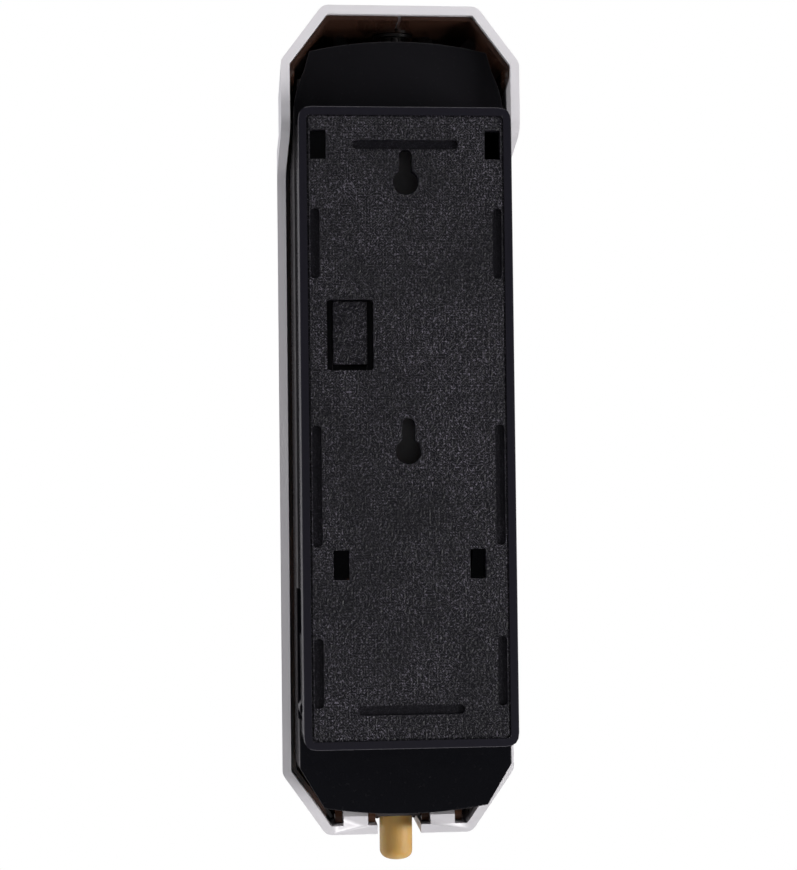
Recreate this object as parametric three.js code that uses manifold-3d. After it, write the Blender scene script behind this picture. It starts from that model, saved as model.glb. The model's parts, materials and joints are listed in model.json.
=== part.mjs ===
// A slim manual soap dispenser that hangs on a wall plate.
// Millimetres, +Z up. The wall is the plane y = 0 and the front of the dispenser faces -Y.
// The origin lies on the wall, midway between the two screws that hold the plate.
// A "depth" is a distance forward of the wall, so a point at depth d has y = -d.

import * as THREE from 'three';
import { mergeVertices } from 'three/addons/utils/BufferGeometryUtils.js';
import Module from 'manifold-3d';

const wasm = await Module();
wasm.setup();

// ---------------------------------------------------------------- driving dimensions

const GAP = 0.3; // between pieces that touch
const SLIDE = 0.5; // between pieces that move past each other

// Overall sizes, which the cover gives
const COVER_WIDTH = 72.6;
const COVER_HEIGHT = 253.4;
const COVER_FRONT = 71.4;
const COVER_WALL = 2.7;

// Wall plate
const SCREW_SPACING = 80;
const CAP_RISE = 33; // the cover stands this far above the plate
const FOOT_DROP = 30.4; // and this far below it
const PLATE_HEIGHT = COVER_HEIGHT - CAP_RISE - FOOT_DROP;
const PLATE_WEB = 3;
const PLATE_CORNER = 4;
const PLATE_CENTRE_Z = 2 - SCREW_SPACING / 2;
const COVER_TOP = PLATE_CENTRE_Z + PLATE_HEIGHT / 2 + CAP_RISE;
const COVER_BOTTOM = COVER_TOP - COVER_HEIGHT;
const FIELD_BORDER = 2.4;
const GROOVE_WIDTH = 0.6;
const GROOVE_DEPTH = 0.4;
const RECESS_WIDTH = 2.8;
const RECESS_DEPTH = 1;
const SCREW_SLOT_RADIUS = 1.93;
const SCREW_ENTRY_RADIUS = 3.85;
const SCREW_ENTRY_DROP = 5.5;
const SCREW_SPARE = 2.4; // the slot runs on this far above the screw
const SCREW_HEAD_ROOM = 4.6;

// Hooks of the plate, each behind a window
const WINDOW_WIDTH = 4.7;
const WINDOW_HEIGHT = 8.7;
const HOOK_PLACES = [[26.1, 83.7], [20.3, -40.9]]; // x, height above the plate's centre
const HOOK_ARM = 2.4;
const HOOK_LIP = 2;
const HOOK_LIP_DROP = 1.35; // the lip stops this far below the window's top
const LIFT_TRAVEL = 9;

// Spring tongue of the plate
const TONGUE_X = 17;
const TONGUE_WIDTH = 10.2;
const TONGUE_LENGTH = 19.1;
const TONGUE_TOP = 37.5; // above the plate's centre
const TONGUE_SLOT = 1.8;
const TONGUE_BACK = 1.2;
const TONGUE_BUMP = 1;

// Chassis
const CHASSIS_BACK = PLATE_WEB + GAP;
const CHASSIS_WALL = 2.4;
const SIDE_ROOM = 1.4; // between the chassis and the inside of the cover
const CHASSIS_HALF_WIDTH = COVER_WIDTH / 2 - COVER_WALL - SIDE_ROOM;
const PLATE_INSET = 0.35;
const PLATE_WIDTH = 2 * (CHASSIS_HALF_WIDTH - PLATE_INSET);
const FLANGE_BACK = 18;
const FLANGE_WALL = 2.2;
const SIDE_WALL = 2.2;
const SIDE_WALL_FRONT = 42;

// Cover
const CAP_RIM = 11;
const LOWER_RIM = 40;
const CAP_FOOT = COVER_TOP - 38; // height at which the cap's rim starts to step forward
const RIM_STEP = 9; // height taken by that step
const SIDE_TAPER = 1.7; // the sides lean in by this much from the lower rim to the front edge
const CAP_PINCH = 1.2; // how much narrower the cap is at the depth of the lower rim
const CAP_THINNING = 0.7; // how much of that its wall takes up
const EDGE_ROUND = 3.4;
const LINER_WALL = 1.2;
const LINER_FIT = 0.25;
const HOOD_FOOT = COVER_TOP - 30; // the liner's sides end here, above the chassis side walls

// Hinge at the foot of the cover
const HINGE_DEPTH = 44.4;
const HINGE_Z = COVER_BOTTOM + 5.2;
const HINGE_PIN_RADIUS = 1;
const EAR_RADIUS = 2.15;
const EAR_WIDTH = 2.2;
const LUG_INNER = 9.8;
const LUG_OUTER = 17.4;
const LUG_RADIUS = 2.3;

// Tank
const TANK_SIDE_ROOM = 0.6;
const TANK_HALF_WIDTH = CHASSIS_HALF_WIDTH - SIDE_WALL - TANK_SIDE_ROOM;
const TANK_BACK = 9.2;
const TANK_FRONT = 60;
const TANK_TOP = COVER_TOP - 25;
const PUMP_CENTRE_Z = COVER_BOTTOM + 44.4;
const TANK_BOTTOM = PUMP_CENTRE_Z + 49;
const TANK_WALL = 1.8;
const TANK_HEAD_BACK = 24;
const MOUTH_HALF_WIDTH = 17;
const MOUTH_BACK = 30;
const MOUTH_FRONT = 54;
const LID_THICKNESS = 3.4;
const GASKET_THICKNESS = 1;

// Pump
const TUBE_DEPTH = 51.8;
const TUBE_RADIUS = 5.25;
const TUBE_BORE = 3.4;
const TUBE_TIP = HINGE_Z - 15.1;
const NECK_RADIUS = 9;
const NECK_BORE = 6.8;
const NECK_LENGTH = 12;
const BALL_RADIUS = 3;
const BALL_LIFT = 1.6;
const ANVIL_THICKNESS = 2.4;

// Button
const BUTTON_HALF_WIDTH = 20.9;
const BUTTON_HEIGHT = 43.8;
const BUTTON_PROUD = 2.6;
const BUTTON_WALL = 2;
const SPRING_X = 14.6;
const SPRING_RADIUS = 3.4;
const SPRING_WIRE = 0.45;
const SPRING_TURNS = 6;
const CARRIER_BACK = 54.5;
const CARRIER_PLATE = 2;
const CUP_RADIUS = 4.9;
const CUP_BACK = 49;

// Lock
const LOCK_DEPTH = 34;
const LOCK_RADIUS = 4;
const CAM_TOP = COVER_TOP - 7.4;
const CAM_THICKNESS = 2;
const POST_RADIUS = 1.3;
const POST_DISTANCE = 7.1; // from the lock's axis

// ---------------------------------------------------------------- finishes

const finish = (color, roughness, metalness = 0, opacity = 1) =>
  new THREE.MeshStandardMaterial({ color, roughness, metalness, opacity, transparent: opacity < 1 });

const WHITE_ABS = finish(0xe6e1e4, 0.35);
const GRAINED_BLACK = finish(0x26242a, 0.6);
const GLOSS_BLACK = finish(0x0c0c10, 0.15);
const TEA_BROWN = finish(0x2c150c, 0.1, 0, 0.85);
const SMOKED_CLEAR = finish(0x8d8f92, 0.25, 0, 0.7);
const LATEX = finish(0xbc9455, 0.45);
const RUBBER = finish(0x222224, 0.8);
const STEEL = finish(0xb9bbbd, 0.3, 1);
const ZINC = finish(0x9a9c9f, 0.35, 1);

// ---------------------------------------------------------------- solids

// Turns a closed geometry into a solid that can be joined and cut.
function toSolid(geometry) {
  const bare = geometry.clone();
  bare.deleteAttribute('normal');
  bare.deleteAttribute('uv');
  const merged = mergeVertices(bare, 1e-4);
  const corners = [];
  for (let i = 0; i < merged.index.count; i += 3) {
    const [a, b, c] = [0, 1, 2].map((k) => merged.index.getX(i + k));
    if (a !== b && b !== c && c !== a) corners.push(a, b, c);
  }
  const vertProperties = new Float32Array(merged.attributes.position.array);
  const triVerts = new Uint32Array(corners);
  return new wasm.Manifold(new wasm.Mesh({ numProp: 3, vertProperties, triVerts }));
}

// Gives a solid back as a geometry.
function toGeometry(solid) {
  const mesh = solid.getMesh();
  const geometry = new THREE.BufferGeometry();
  geometry.setAttribute('position', new THREE.BufferAttribute(new Float32Array(mesh.vertProperties), 3));
  geometry.setIndex(new THREE.BufferAttribute(new Uint32Array(mesh.triVerts), 1));
  return geometry;
}

const join = (...solids) => solids.reduce((whole, solid) => whole.add(solid));
const cut = (solid, ...tools) => tools.reduce((whole, tool) => whole.subtract(tool), solid);

// Box between two x values, two depths and two heights.
function block(x0, x1, depth0, depth1, z0, z1) {
  const geometry = new THREE.BoxGeometry(x1 - x0, depth1 - depth0, z1 - z0);
  geometry.translate((x0 + x1) / 2, -(depth0 + depth1) / 2, (z0 + z1) / 2);
  return toSolid(geometry);
}

// Cylinders along the three axes.
function rodX(radius, x0, x1, depth, z, sides = 20) {
  const geometry = new THREE.CylinderGeometry(radius, radius, x1 - x0, sides);
  geometry.rotateZ(Math.PI / 2);
  geometry.translate((x0 + x1) / 2, -depth, z);
  return toSolid(geometry);
}

function rodY(radius, x, depth0, depth1, z, sides = 20) {
  const geometry = new THREE.CylinderGeometry(radius, radius, depth1 - depth0, sides);
  geometry.translate(x, -(depth0 + depth1) / 2, z);
  return toSolid(geometry);
}

function rodZ(radius, x, depth, z0, z1, sides = 24) {
  const geometry = new THREE.CylinderGeometry(radius, radius, z1 - z0, sides);
  geometry.rotateX(Math.PI / 2);
  geometry.translate(x, -depth, (z0 + z1) / 2);
  return toSolid(geometry);
}

// Solid of revolution about the vertical line at (x, depth); the profile is [radius, z] pairs.
function turnedZ(profile, x, depth, sides = 24) {
  const points = profile.map(([radius, z]) => new THREE.Vector2(radius, z));
  const geometry = new THREE.LatheGeometry(points, sides);
  geometry.rotateX(Math.PI / 2);
  geometry.translate(x, -depth, 0);
  return toSolid(geometry);
}

// Shape through corner points; a third number rounds that corner.
function outline(points) {
  const shape = new THREE.Shape();
  points.forEach(([x, y, radius = 0], i) => {
    const corner = new THREE.Vector2(x, y);
    const before = new THREE.Vector2(...points.at(i - 1)).sub(corner);
    const after = new THREE.Vector2(...points[(i + 1) % points.length]).sub(corner);
    const half = Math.abs(before.angleTo(after)) / 2;
    const reach = radius / Math.tan(half);
    const start = corner.clone().add(before.setLength(reach));
    const end = corner.clone().add(after.setLength(reach));
    if (i === 0) shape.moveTo(start.x, start.y);
    else shape.lineTo(start.x, start.y);
    if (radius > 0) shape.quadraticCurveTo(x, y, end.x, end.y);
  });
  shape.closePath();
  return shape;
}

// Moves every side of a counter-clockwise outline inwards by the same distance.
function inset(points, distance) {
  const sides = points.map(([x, y], i) => {
    const [nextX, nextY] = points[(i + 1) % points.length];
    const length = Math.hypot(nextX - x, nextY - y);
    const normal = [-(nextY - y) / length, (nextX - x) / length];
    return { normal, offset: normal[0] * x + normal[1] * y + distance };
  });
  return points.map(([, , radius = 0], i) => {
    const [a, b] = [sides.at(i - 1), sides[i]];
    const det = a.normal[0] * b.normal[1] - a.normal[1] * b.normal[0];
    const x = (a.offset * b.normal[1] - b.offset * a.normal[1]) / det;
    const y = (b.offset * a.normal[0] - a.offset * b.normal[0]) / det;
    return [x, y, Math.max(radius - distance, 0)];
  });
}

// Prism of an (x, z) shape between two depths.
function prism(shape, depth0, depth1, curveSegments = 4) {
  const settings = { depth: depth1 - depth0, bevelEnabled: false, curveSegments };
  const geometry = new THREE.ExtrudeGeometry(shape, settings);
  geometry.rotateX(Math.PI / 2);
  geometry.translate(0, -depth0, 0);
  return toSolid(geometry);
}

// Solid through copies of a convex outline, each [depth, distance inside the outline].
function layered(points, sections) {
  const layer = ([depth, margin]) => outline(inset(points, margin)).getPoints(3).map(({ x, y }) => [x, -depth, y]);
  return wasm.Manifold.hull(sections.flatMap(layer));
}

// Sections of a quarter-round front edge that starts `margin` inside the outline.
function roundedEdge(front, margin, roundDepth, roundSize, steps = 5) {
  return Array.from({ length: steps + 1 }, (_, i) => {
    const turn = (Math.PI / 2) * (i / steps);
    return [front - roundDepth * (1 - Math.sin(turn)), margin + roundSize * (1 - Math.cos(turn))];
  });
}

// Prism of a (depth, z) shape between two x values.
function prismX(shape, x0, x1, curveSegments = 4) {
  const settings = { depth: x1 - x0, bevelEnabled: false, curveSegments };
  const geometry = new THREE.ExtrudeGeometry(shape, settings);
  const axes = [new THREE.Vector3(0, -1, 0), new THREE.Vector3(0, 0, 1), new THREE.Vector3(-1, 0, 0)];
  geometry.applyMatrix4(new THREE.Matrix4().makeBasis(...axes));
  geometry.translate(x1, 0, 0);
  return toSolid(geometry);
}

const box2d = (x0, x1, y0, y1, radius = 0) =>
  [[x0, y0, radius], [x1, y0, radius], [x1, y1, radius], [x0, y1, radius]];

const mirrorX = (solid) => solid.mirror([1, 0, 0]);
const bothSides = (solid) => join(solid, mirrorX(solid));

// Pan-head screw along Y: the head's underside lies at depth headDepth and the shank runs to tipDepth.
function screwY(x, z, headDepth, tipDepth, headRadius = 2.3, shankRadius = 1.1) {
  const towardFront = Math.sign(tipDepth - headDepth);
  const headTop = headDepth - towardFront * 1.5;
  const span = (a, b) => [Math.min(a, b), Math.max(a, b)];
  const head = rodY(headRadius, x, ...span(headTop, headDepth), z, 16);
  const shank = rodY(shankRadius, x, ...span(headDepth - towardFront * 0.2, tipDepth), z, 12);
  const drive = span(headTop - towardFront * 0.5, headTop + towardFront * 0.7);
  const slotA = block(x - 1.4, x + 1.4, ...drive, z - 0.3, z + 0.3);
  const slotB = block(x - 0.3, x + 0.3, ...drive, z - 1.4, z + 1.4);
  return cut(join(head, shank), join(slotA, slotB));
}

// ---------------------------------------------------------------- outlines

const plateZ = (height) => PLATE_CENTRE_Z + height;
const PLATE_TOP = plateZ(PLATE_HEIGHT / 2);
const PLATE_BOTTOM = plateZ(-PLATE_HEIGHT / 2);
const COVER_HALF_WIDTH = COVER_WIDTH / 2;
const FLANGE_FRONT = FLANGE_BACK + FLANGE_WALL;
const PLATEAU_HALF_WIDTH = PLATE_WIDTH / 2 - 0.15;
const POCKET_HALF_WIDTH = CHASSIS_HALF_WIDTH - SIDE_WALL;
const PLATEAU_TOP = PLATE_TOP - 0.2;
const PLATEAU_BOTTOM = PLATE_BOTTOM + 0.4;
const SIDE_WALL_FOOT = COVER_BOTTOM + 23.4;

// Long octagon of the cover: two wide corner cuts at the top and two at the foot.
const COVER_OUTLINE = [
  [COVER_HALF_WIDTH, COVER_TOP - 17, 3.5],
  [COVER_HALF_WIDTH - 12.8, COVER_TOP, 3.5],
  [-COVER_HALF_WIDTH + 12.8, COVER_TOP, 3.5],
  [-COVER_HALF_WIDTH, COVER_TOP - 17, 3.5],
  [-COVER_HALF_WIDTH, COVER_BOTTOM + 19.1, 3.5],
  [-COVER_HALF_WIDTH + 13.5, COVER_BOTTOM, 3.5],
  [COVER_HALF_WIDTH - 13.5, COVER_BOTTOM, 3.5],
  [COVER_HALF_WIDTH, COVER_BOTTOM + 19.1, 3.5],
];

const WINDOW_SIDE = COVER_HALF_WIDTH - 8.8;
const WINDOW_BOTTOM = PUMP_CENTRE_Z + BUTTON_HEIGHT / 2 + 11;
const WINDOW_TOP = COVER_TOP - 13.5;
const WINDOW_OUTLINE = [
  [WINDOW_SIDE, WINDOW_TOP - 11, 3],
  [WINDOW_SIDE - 8.3, WINDOW_TOP, 3],
  [-WINDOW_SIDE + 8.3, WINDOW_TOP, 3],
  [-WINDOW_SIDE, WINDOW_TOP - 11, 3],
  [-WINDOW_SIDE, WINDOW_BOTTOM, 4],
  [WINDOW_SIDE, WINDOW_BOTTOM, 4],
];

const buttonBox = (margin, radius = 6) => box2d(
  -BUTTON_HALF_WIDTH - margin, BUTTON_HALF_WIDTH + margin,
  PUMP_CENTRE_Z - BUTTON_HEIGHT / 2 - margin, PUMP_CENTRE_Z + BUTTON_HEIGHT / 2 + margin, radius,
);

// Outline of the chassis: a low arch on top, sloping shoulders, straight sides and a curved foot.
function chassisShape() {
  const side = CHASSIS_HALF_WIDTH;
  const arch = COVER_TOP - 12.7;
  const foot = COVER_BOTTOM + 11.2;
  const shape = new THREE.Shape();
  shape.moveTo(side - 5, arch);
  shape.quadraticCurveTo(0, arch + 6.4, -side + 5, arch);
  shape.lineTo(-side + 3.4, arch - 5.8);
  shape.quadraticCurveTo(-side + 0.4, arch - 12, -side, arch - 18);
  shape.lineTo(-side, SIDE_WALL_FOOT);
  shape.lineTo(-side + 7.4, foot);
  shape.quadraticCurveTo(0, foot - 4.4, side - 7.4, foot);
  shape.lineTo(side, SIDE_WALL_FOOT);
  shape.lineTo(side, arch - 18);
  shape.quadraticCurveTo(side - 0.4, arch - 12, side - 3.4, arch - 5.8);
  shape.closePath();
  return shape;
}

// ---------------------------------------------------------------- wall plate

const hookPlaces = HOOK_PLACES.flatMap(([x, height]) => [[x, plateZ(height)], [-x, plateZ(height)]]);
const hookFoot = (z) => z - WINDOW_HEIGHT / 2;
const HOOK_LIP_BACK = CHASSIS_BACK + CHASSIS_WALL + 0.7;
const HOOK_FRONT = HOOK_LIP_BACK + HOOK_LIP;

function keyhole(seatZ) {
  const drop = seatZ - SCREW_ENTRY_DROP;
  const slot = join(
    rodY(SCREW_SLOT_RADIUS, 0, -1, PLATE_WEB + 1, seatZ + SCREW_SPARE),
    block(-SCREW_SLOT_RADIUS, SCREW_SLOT_RADIUS, -1, PLATE_WEB + 1, drop, seatZ + SCREW_SPARE),
  );
  return join(slot, rodY(SCREW_ENTRY_RADIUS, 0, -1, PLATE_WEB + 1, drop, 28));
}

function hook([x, z]) {
  const half = WINDOW_WIDTH / 2 - GAP;
  const foot = hookFoot(z);
  const arm = block(x - half, x + half, PLATE_WEB - 0.5, HOOK_FRONT, foot - HOOK_ARM, foot);
  const lip = block(x - half, x + half, HOOK_LIP_BACK, HOOK_FRONT, foot - 0.1, foot + WINDOW_HEIGHT - HOOK_LIP_DROP);
  return join(arm, lip);
}

function windowCut([x, z]) {
  const half = WINDOW_WIDTH / 2;
  return block(x - half, x + half, -1, PLATE_WEB + 1, hookFoot(z), z + WINDOW_HEIGHT / 2);
}

// Shallow blind slot with round ends, along X or Z.
function recess(x, height, length, upright) {
  const halfLong = length / 2;
  const half = RECESS_WIDTH / 2;
  const [halfX, halfZ] = upright ? [half, halfLong] : [halfLong, half];
  const z = plateZ(height);
  return prism(outline(box2d(x - halfX, x + halfX, z - halfZ, z + halfZ, half * 0.98)), -1, RECESS_DEPTH);
}

function tongueSlot() {
  const half = TONGUE_WIDTH / 2 + TONGUE_SLOT;
  const top = plateZ(TONGUE_TOP);
  const bottom = top - TONGUE_LENGTH - TONGUE_SLOT;
  return prism(outline(box2d(TONGUE_X - half, TONGUE_X + half, bottom, top, 1)), -1, PLATE_WEB + 1);
}

function wallPlate() {
  const half = PLATE_WIDTH / 2;
  const edge = box2d(-half, half, PLATE_BOTTOM, PLATE_TOP, PLATE_CORNER);
  const groove = cut(
    prism(outline(inset(edge, FIELD_BORDER)), -1, GROOVE_DEPTH),
    prism(outline(inset(edge, FIELD_BORDER + GROOVE_WIDTH)), -2, GROOVE_DEPTH + 1),
  );
  const recesses = [
    recess(0, 83.7, 31.6, false),
    recess(0, -83.7, 31.6, false),
    ...[[54.2, 21], [-17.6, 35.8], [-72.6, 20.5]].map(([z, length]) => bothSides(recess(27.2, z, length, true))),
  ];
  const holes = [keyhole(SCREW_SPACING / 2), keyhole(-SCREW_SPACING / 2), tongueSlot()];
  const sheet = cut(prism(outline(edge), 0, PLATE_WEB), groove, ...recesses, ...holes);
  return join(cut(sheet, ...hookPlaces.map(windowCut)), ...hookPlaces.map(hook));
}

const TONGUE_BUMP_TOP = plateZ(TONGUE_TOP) - TONGUE_LENGTH + 3;
const TONGUE_BUMP_HEIGHT = 2;

function detentTongue() {
  const half = TONGUE_WIDTH / 2;
  const top = plateZ(TONGUE_TOP) - GAP;
  const bottom = plateZ(TONGUE_TOP) - TONGUE_LENGTH;
  const leaf = block(TONGUE_X - half, TONGUE_X + half, TONGUE_BACK, PLATE_WEB, bottom, top);
  const crest = PLATE_WEB + TONGUE_BUMP;
  const bump = prismX(outline([
    [PLATE_WEB - 0.5, TONGUE_BUMP_TOP],
    [PLATE_WEB - 0.5, TONGUE_BUMP_TOP - TONGUE_BUMP_HEIGHT - 0.6],
    [PLATE_WEB, TONGUE_BUMP_TOP - TONGUE_BUMP_HEIGHT - 0.6],
    [crest, TONGUE_BUMP_TOP - TONGUE_BUMP_HEIGHT],
    [crest, TONGUE_BUMP_TOP],
  ]), TONGUE_X - half + 1, TONGUE_X + half - 1);
  return join(leaf, bump);
}

// ---------------------------------------------------------------- chassis

// Opening that lets a plate hook pass and then slides down behind its lip.
function hookOpening([x, z]) {
  const half = WINDOW_WIDTH / 2 + SLIDE;
  const top = hookFoot(z) + GAP;
  const height = HOOK_ARM + LIFT_TRAVEL + 2 * GAP;
  return block(x - half, x + half, 0, CHASSIS_BACK + CHASSIS_WALL + 1, top - height, top);
}

// Room for a screw's head, long enough for the lift.
function screwRelief(seatZ) {
  const half = SCREW_HEAD_ROOM;
  const shape = outline(box2d(-half, half, seatZ - half - LIFT_TRAVEL, seatZ + half, half * 0.9));
  return prism(shape, 0, CHASSIS_BACK + CHASSIS_WALL + 1);
}

// Ramp that pushes the tongue back as the chassis is lifted past its bump.
function detentPocket() {
  const deep = PLATE_WEB + TONGUE_BUMP + GAP;
  const top = TONGUE_BUMP_TOP + GAP;
  const bumpFoot = TONGUE_BUMP_TOP - TONGUE_BUMP_HEIGHT - GAP;
  return prismX(outline([
    [0, top], [0, bumpFoot - LIFT_TRAVEL - 0.6],
    [CHASSIS_BACK - 0.01, bumpFoot - LIFT_TRAVEL - 0.6],
    [deep, bumpFoot], [deep, top],
  ]), TONGUE_X - TONGUE_WIDTH / 2, TONGUE_X + TONGUE_WIDTH / 2);
}

// Slot in a side wall, for the snap arm that hangs in it.
const SNAP_SLOT = { back: 11, front: 27, bottom: -125.3, top: -86 };

function snapSlot() {
  const { back, front, bottom, top } = SNAP_SLOT;
  return prismX(outline(box2d(back, front, bottom, top, 1.5)), POCKET_HALF_WIDTH - 1, CHASSIS_HALF_WIDTH + 1);
}

// Rib that reaches forward over the foot of the cover and ends in an ear for the hinge pin.
function hingeRib(x0) {
  const x1 = x0 + EAR_WIDTH;
  const top = HINGE_Z + 12.2;
  const under = HINGE_Z + 7.3;
  const rib = block(x0, x1, FLANGE_FRONT - 0.5, HINGE_DEPTH + 2.4, under, top);
  const neck = block(x0, x1, HINGE_DEPTH - 0.4, HINGE_DEPTH + 2.4, HINGE_Z, under + 0.5);
  const fillet = prismX(outline([
    [HINGE_DEPTH + 2.4, HINGE_Z], [HINGE_DEPTH - 0.4, HINGE_Z + 2],
    [HINGE_DEPTH, HINGE_Z - 1],
  ]), x0, x1);
  return join(rib, neck, fillet, rodX(EAR_RADIUS, x0, x1, HINGE_DEPTH, HINGE_Z));
}

const EAR_STARTS = [LUG_INNER - GAP - EAR_WIDTH, LUG_OUTER + GAP];

// Pegs that place the pump bracket.
const PEG_RADIUS = 2;
const PEG_X = 9;
const PEG_Z = PUMP_CENTRE_Z + 18;
const BRACKET_BACK = CHASSIS_BACK + CHASSIS_WALL + GAP;
const BRACKET_BASE = 2.5;

function chassis() {
  const inner = POCKET_HALF_WIDTH;
  const pocketFoot = PLATEAU_BOTTOM + CHASSIS_WALL;
  const pocketTop = PLATEAU_TOP - CHASSIS_WALL;
  const flange = prism(chassisShape(), FLANGE_BACK, FLANGE_FRONT, 10);
  const plateau = prism(outline(box2d(
    -PLATEAU_HALF_WIDTH, PLATEAU_HALF_WIDTH, PLATEAU_BOTTOM, PLATEAU_TOP, PLATE_CORNER,
  )), CHASSIS_BACK, FLANGE_BACK + 0.5);
  const sideTop = COVER_TOP - 31.5;
  const side = block(inner, CHASSIS_HALF_WIDTH, FLANGE_BACK + 0.5, SIDE_WALL_FRONT, SIDE_WALL_FOOT, sideTop);
  const pocket = block(-inner, inner, CHASSIS_BACK + CHASSIS_WALL, SIDE_WALL_FRONT + 1, pocketFoot, pocketTop);
  const pegs = bothSides(rodY(PEG_RADIUS, PEG_X, BRACKET_BACK - 1, BRACKET_BACK + BRACKET_BASE + 1, PEG_Z, 16));
  const shell = cut(join(flange, plateau, bothSides(side)), pocket);
  const openings = [
    ...hookPlaces.map(hookOpening),
    screwRelief(SCREW_SPACING / 2),
    screwRelief(-SCREW_SPACING / 2),
    detentPocket(),
    bothSides(snapSlot()),
    ...screwHoles(NOZZLE_SCREWS, FLANGE_BACK + 0.5, FLANGE_FRONT + 1),
    ...screwHoles(STRIKER_SCREWS, FLANGE_BACK + 0.5, FLANGE_FRONT + 1),
  ];
  const ribs = EAR_STARTS.map((x) => bothSides(hingeRib(x)));
  const bores = bothSides(rodX(HINGE_PIN_RADIUS + GAP, PIN_START, PIN_END, HINGE_DEPTH, HINGE_Z, 16));
  return cut(join(cut(shell, ...openings), pegs, ...ribs), bores);
}

const screwHoles = (places, depth0, depth1) => places.map(([x, z]) => rodY(1.4, x, depth0, depth1, z, 12));

const PIN_START = EAR_STARTS[0] + 0.2;
const PIN_END = EAR_STARTS[1] + EAR_WIDTH + 0.5;

const hingePin = () => rodX(HINGE_PIN_RADIUS, PIN_START + GAP, PIN_END - GAP, HINGE_DEPTH, HINGE_Z, 16);

// Snap arm of the side wall: a wide root, a thin arm and a nose that holds the pump bracket.
function sideSnap() {
  const { back, front, bottom } = SNAP_SLOT;
  const middle = (back + front) / 2;
  const [x0, x1] = [POCKET_HALF_WIDTH + 0.2, POCKET_HALF_WIDTH + 1.5];
  const root = bottom + 25.5;
  const leaf = prismX(outline([
    [back + GAP, root], [back + GAP, root - 3.5], [middle - 2, root - 10], [middle - 2, bottom + 6],
    [middle - 4, bottom + 5], [middle - 4, bottom + 1], [middle + 4, bottom + 1], [middle + 4, bottom + 5],
    [middle + 2, bottom + 6], [middle + 2, root - 10], [front - GAP, root - 3.5], [front - GAP, root],
  ]), x0, x1);
  const nose = prism(outline([
    [x0 + 0.2, bottom + 1], [x0 + 0.2, bottom + 6], [x0 - 1.6, bottom + 4.2], [x0 - 1.6, bottom + 2.8],
  ]), middle - 1, middle + 4);
  const thumb = prism(outline([
    [x1 - 0.2, bottom + 1], [x1 + 0.7, bottom + 2.6], [x1 + 0.7, bottom + 4], [x1 - 0.2, bottom + 6],
  ]), middle - 4, middle + 4);
  return join(leaf, nose, thumb);
}

// ---------------------------------------------------------------- tank

function soapTank() {
  const shoulder = PLATEAU_TOP - CHASSIS_WALL - SLIDE;
  const profile = [
    [TANK_BACK, TANK_BOTTOM, 5], [TANK_FRONT, TANK_BOTTOM, 5], [TANK_FRONT, TANK_TOP, 2],
    [TANK_HEAD_BACK, TANK_TOP, 2], [TANK_HEAD_BACK, shoulder, 2], [TANK_BACK, shoulder, 5],
  ];
  const body = prismX(outline(profile), -TANK_HALF_WIDTH, TANK_HALF_WIDTH);
  const inside = TANK_HALF_WIDTH - TANK_WALL;
  const hollow = prismX(outline(inset(profile, TANK_WALL)), -inside, inside);
  const mouth = block(-MOUTH_HALF_WIDTH, MOUTH_HALF_WIDTH, MOUTH_BACK, MOUTH_FRONT, TANK_TOP - TANK_WALL - 1, TANK_TOP + 1);
  const neck = rodZ(NECK_RADIUS, 0, TUBE_DEPTH, TANK_BOTTOM - NECK_LENGTH, TANK_BOTTOM + 1);
  const bore = rodZ(NECK_BORE, 0, TUBE_DEPTH, TANK_BOTTOM - NECK_LENGTH - 1, TANK_BOTTOM + TANK_WALL + 1);
  return cut(join(body, neck), hollow, mouth, bore);
}

// The neck would stick out of the tank's front if it were not centred a little behind the tube.

function tankLid() {
  const bottom = TANK_TOP + GASKET_THICKNESS + 2 * GAP;
  const wide = TANK_HALF_WIDTH + 1.5;
  const back = TANK_HEAD_BACK - 0.5;
  const plate = join(
    block(-wide, wide, back, SIDE_WALL_FRONT - 0.5, bottom, bottom + LID_THICKNESS),
    block(-TANK_HALF_WIDTH, TANK_HALF_WIDTH, SIDE_WALL_FRONT - 1, TANK_FRONT, bottom, bottom + LID_THICKNESS),
  );
  const inner = MOUTH_HALF_WIDTH - SLIDE;
  const plug = block(-inner, inner, MOUTH_BACK + SLIDE, MOUTH_FRONT - SLIDE, TANK_TOP - 3, bottom + 0.5);
  const plugHollow = block(-inner + 1.6, inner - 1.6, MOUTH_BACK + SLIDE + 1.6, MOUTH_FRONT - SLIDE - 1.6, TANK_TOP - 4, bottom + 1.4);
  const grip = block(-12, 12, TANK_FRONT - 0.5, TANK_FRONT + 2, bottom + 0.6, bottom + LID_THICKNESS);
  return cut(join(plate, plug, grip), plugHollow);
}

function lidGasket() {
  const z0 = TANK_TOP + GAP;
  const outer = block(-MOUTH_HALF_WIDTH - 3, MOUTH_HALF_WIDTH + 3, MOUTH_BACK - 3, MOUTH_FRONT + 3, z0, z0 + GASKET_THICKNESS);
  const hole = block(-MOUTH_HALF_WIDTH, MOUTH_HALF_WIDTH, MOUTH_BACK, MOUTH_FRONT, z0 - 1, z0 + GASKET_THICKNESS + 1);
  return cut(outer, hole);
}

// ---------------------------------------------------------------- valve and tube

const NECK_END = TANK_BOTTOM - NECK_LENGTH;
const CAGE_BOTTOM = NECK_END - GAP - 3;
const CAGE_TOP = TANK_BOTTOM - 2;
const CHAMBER_RADIUS = BALL_RADIUS + 0.5;
const BALL_REST = CAGE_TOP - GAP - BALL_LIFT - BALL_RADIUS - 1;

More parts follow.
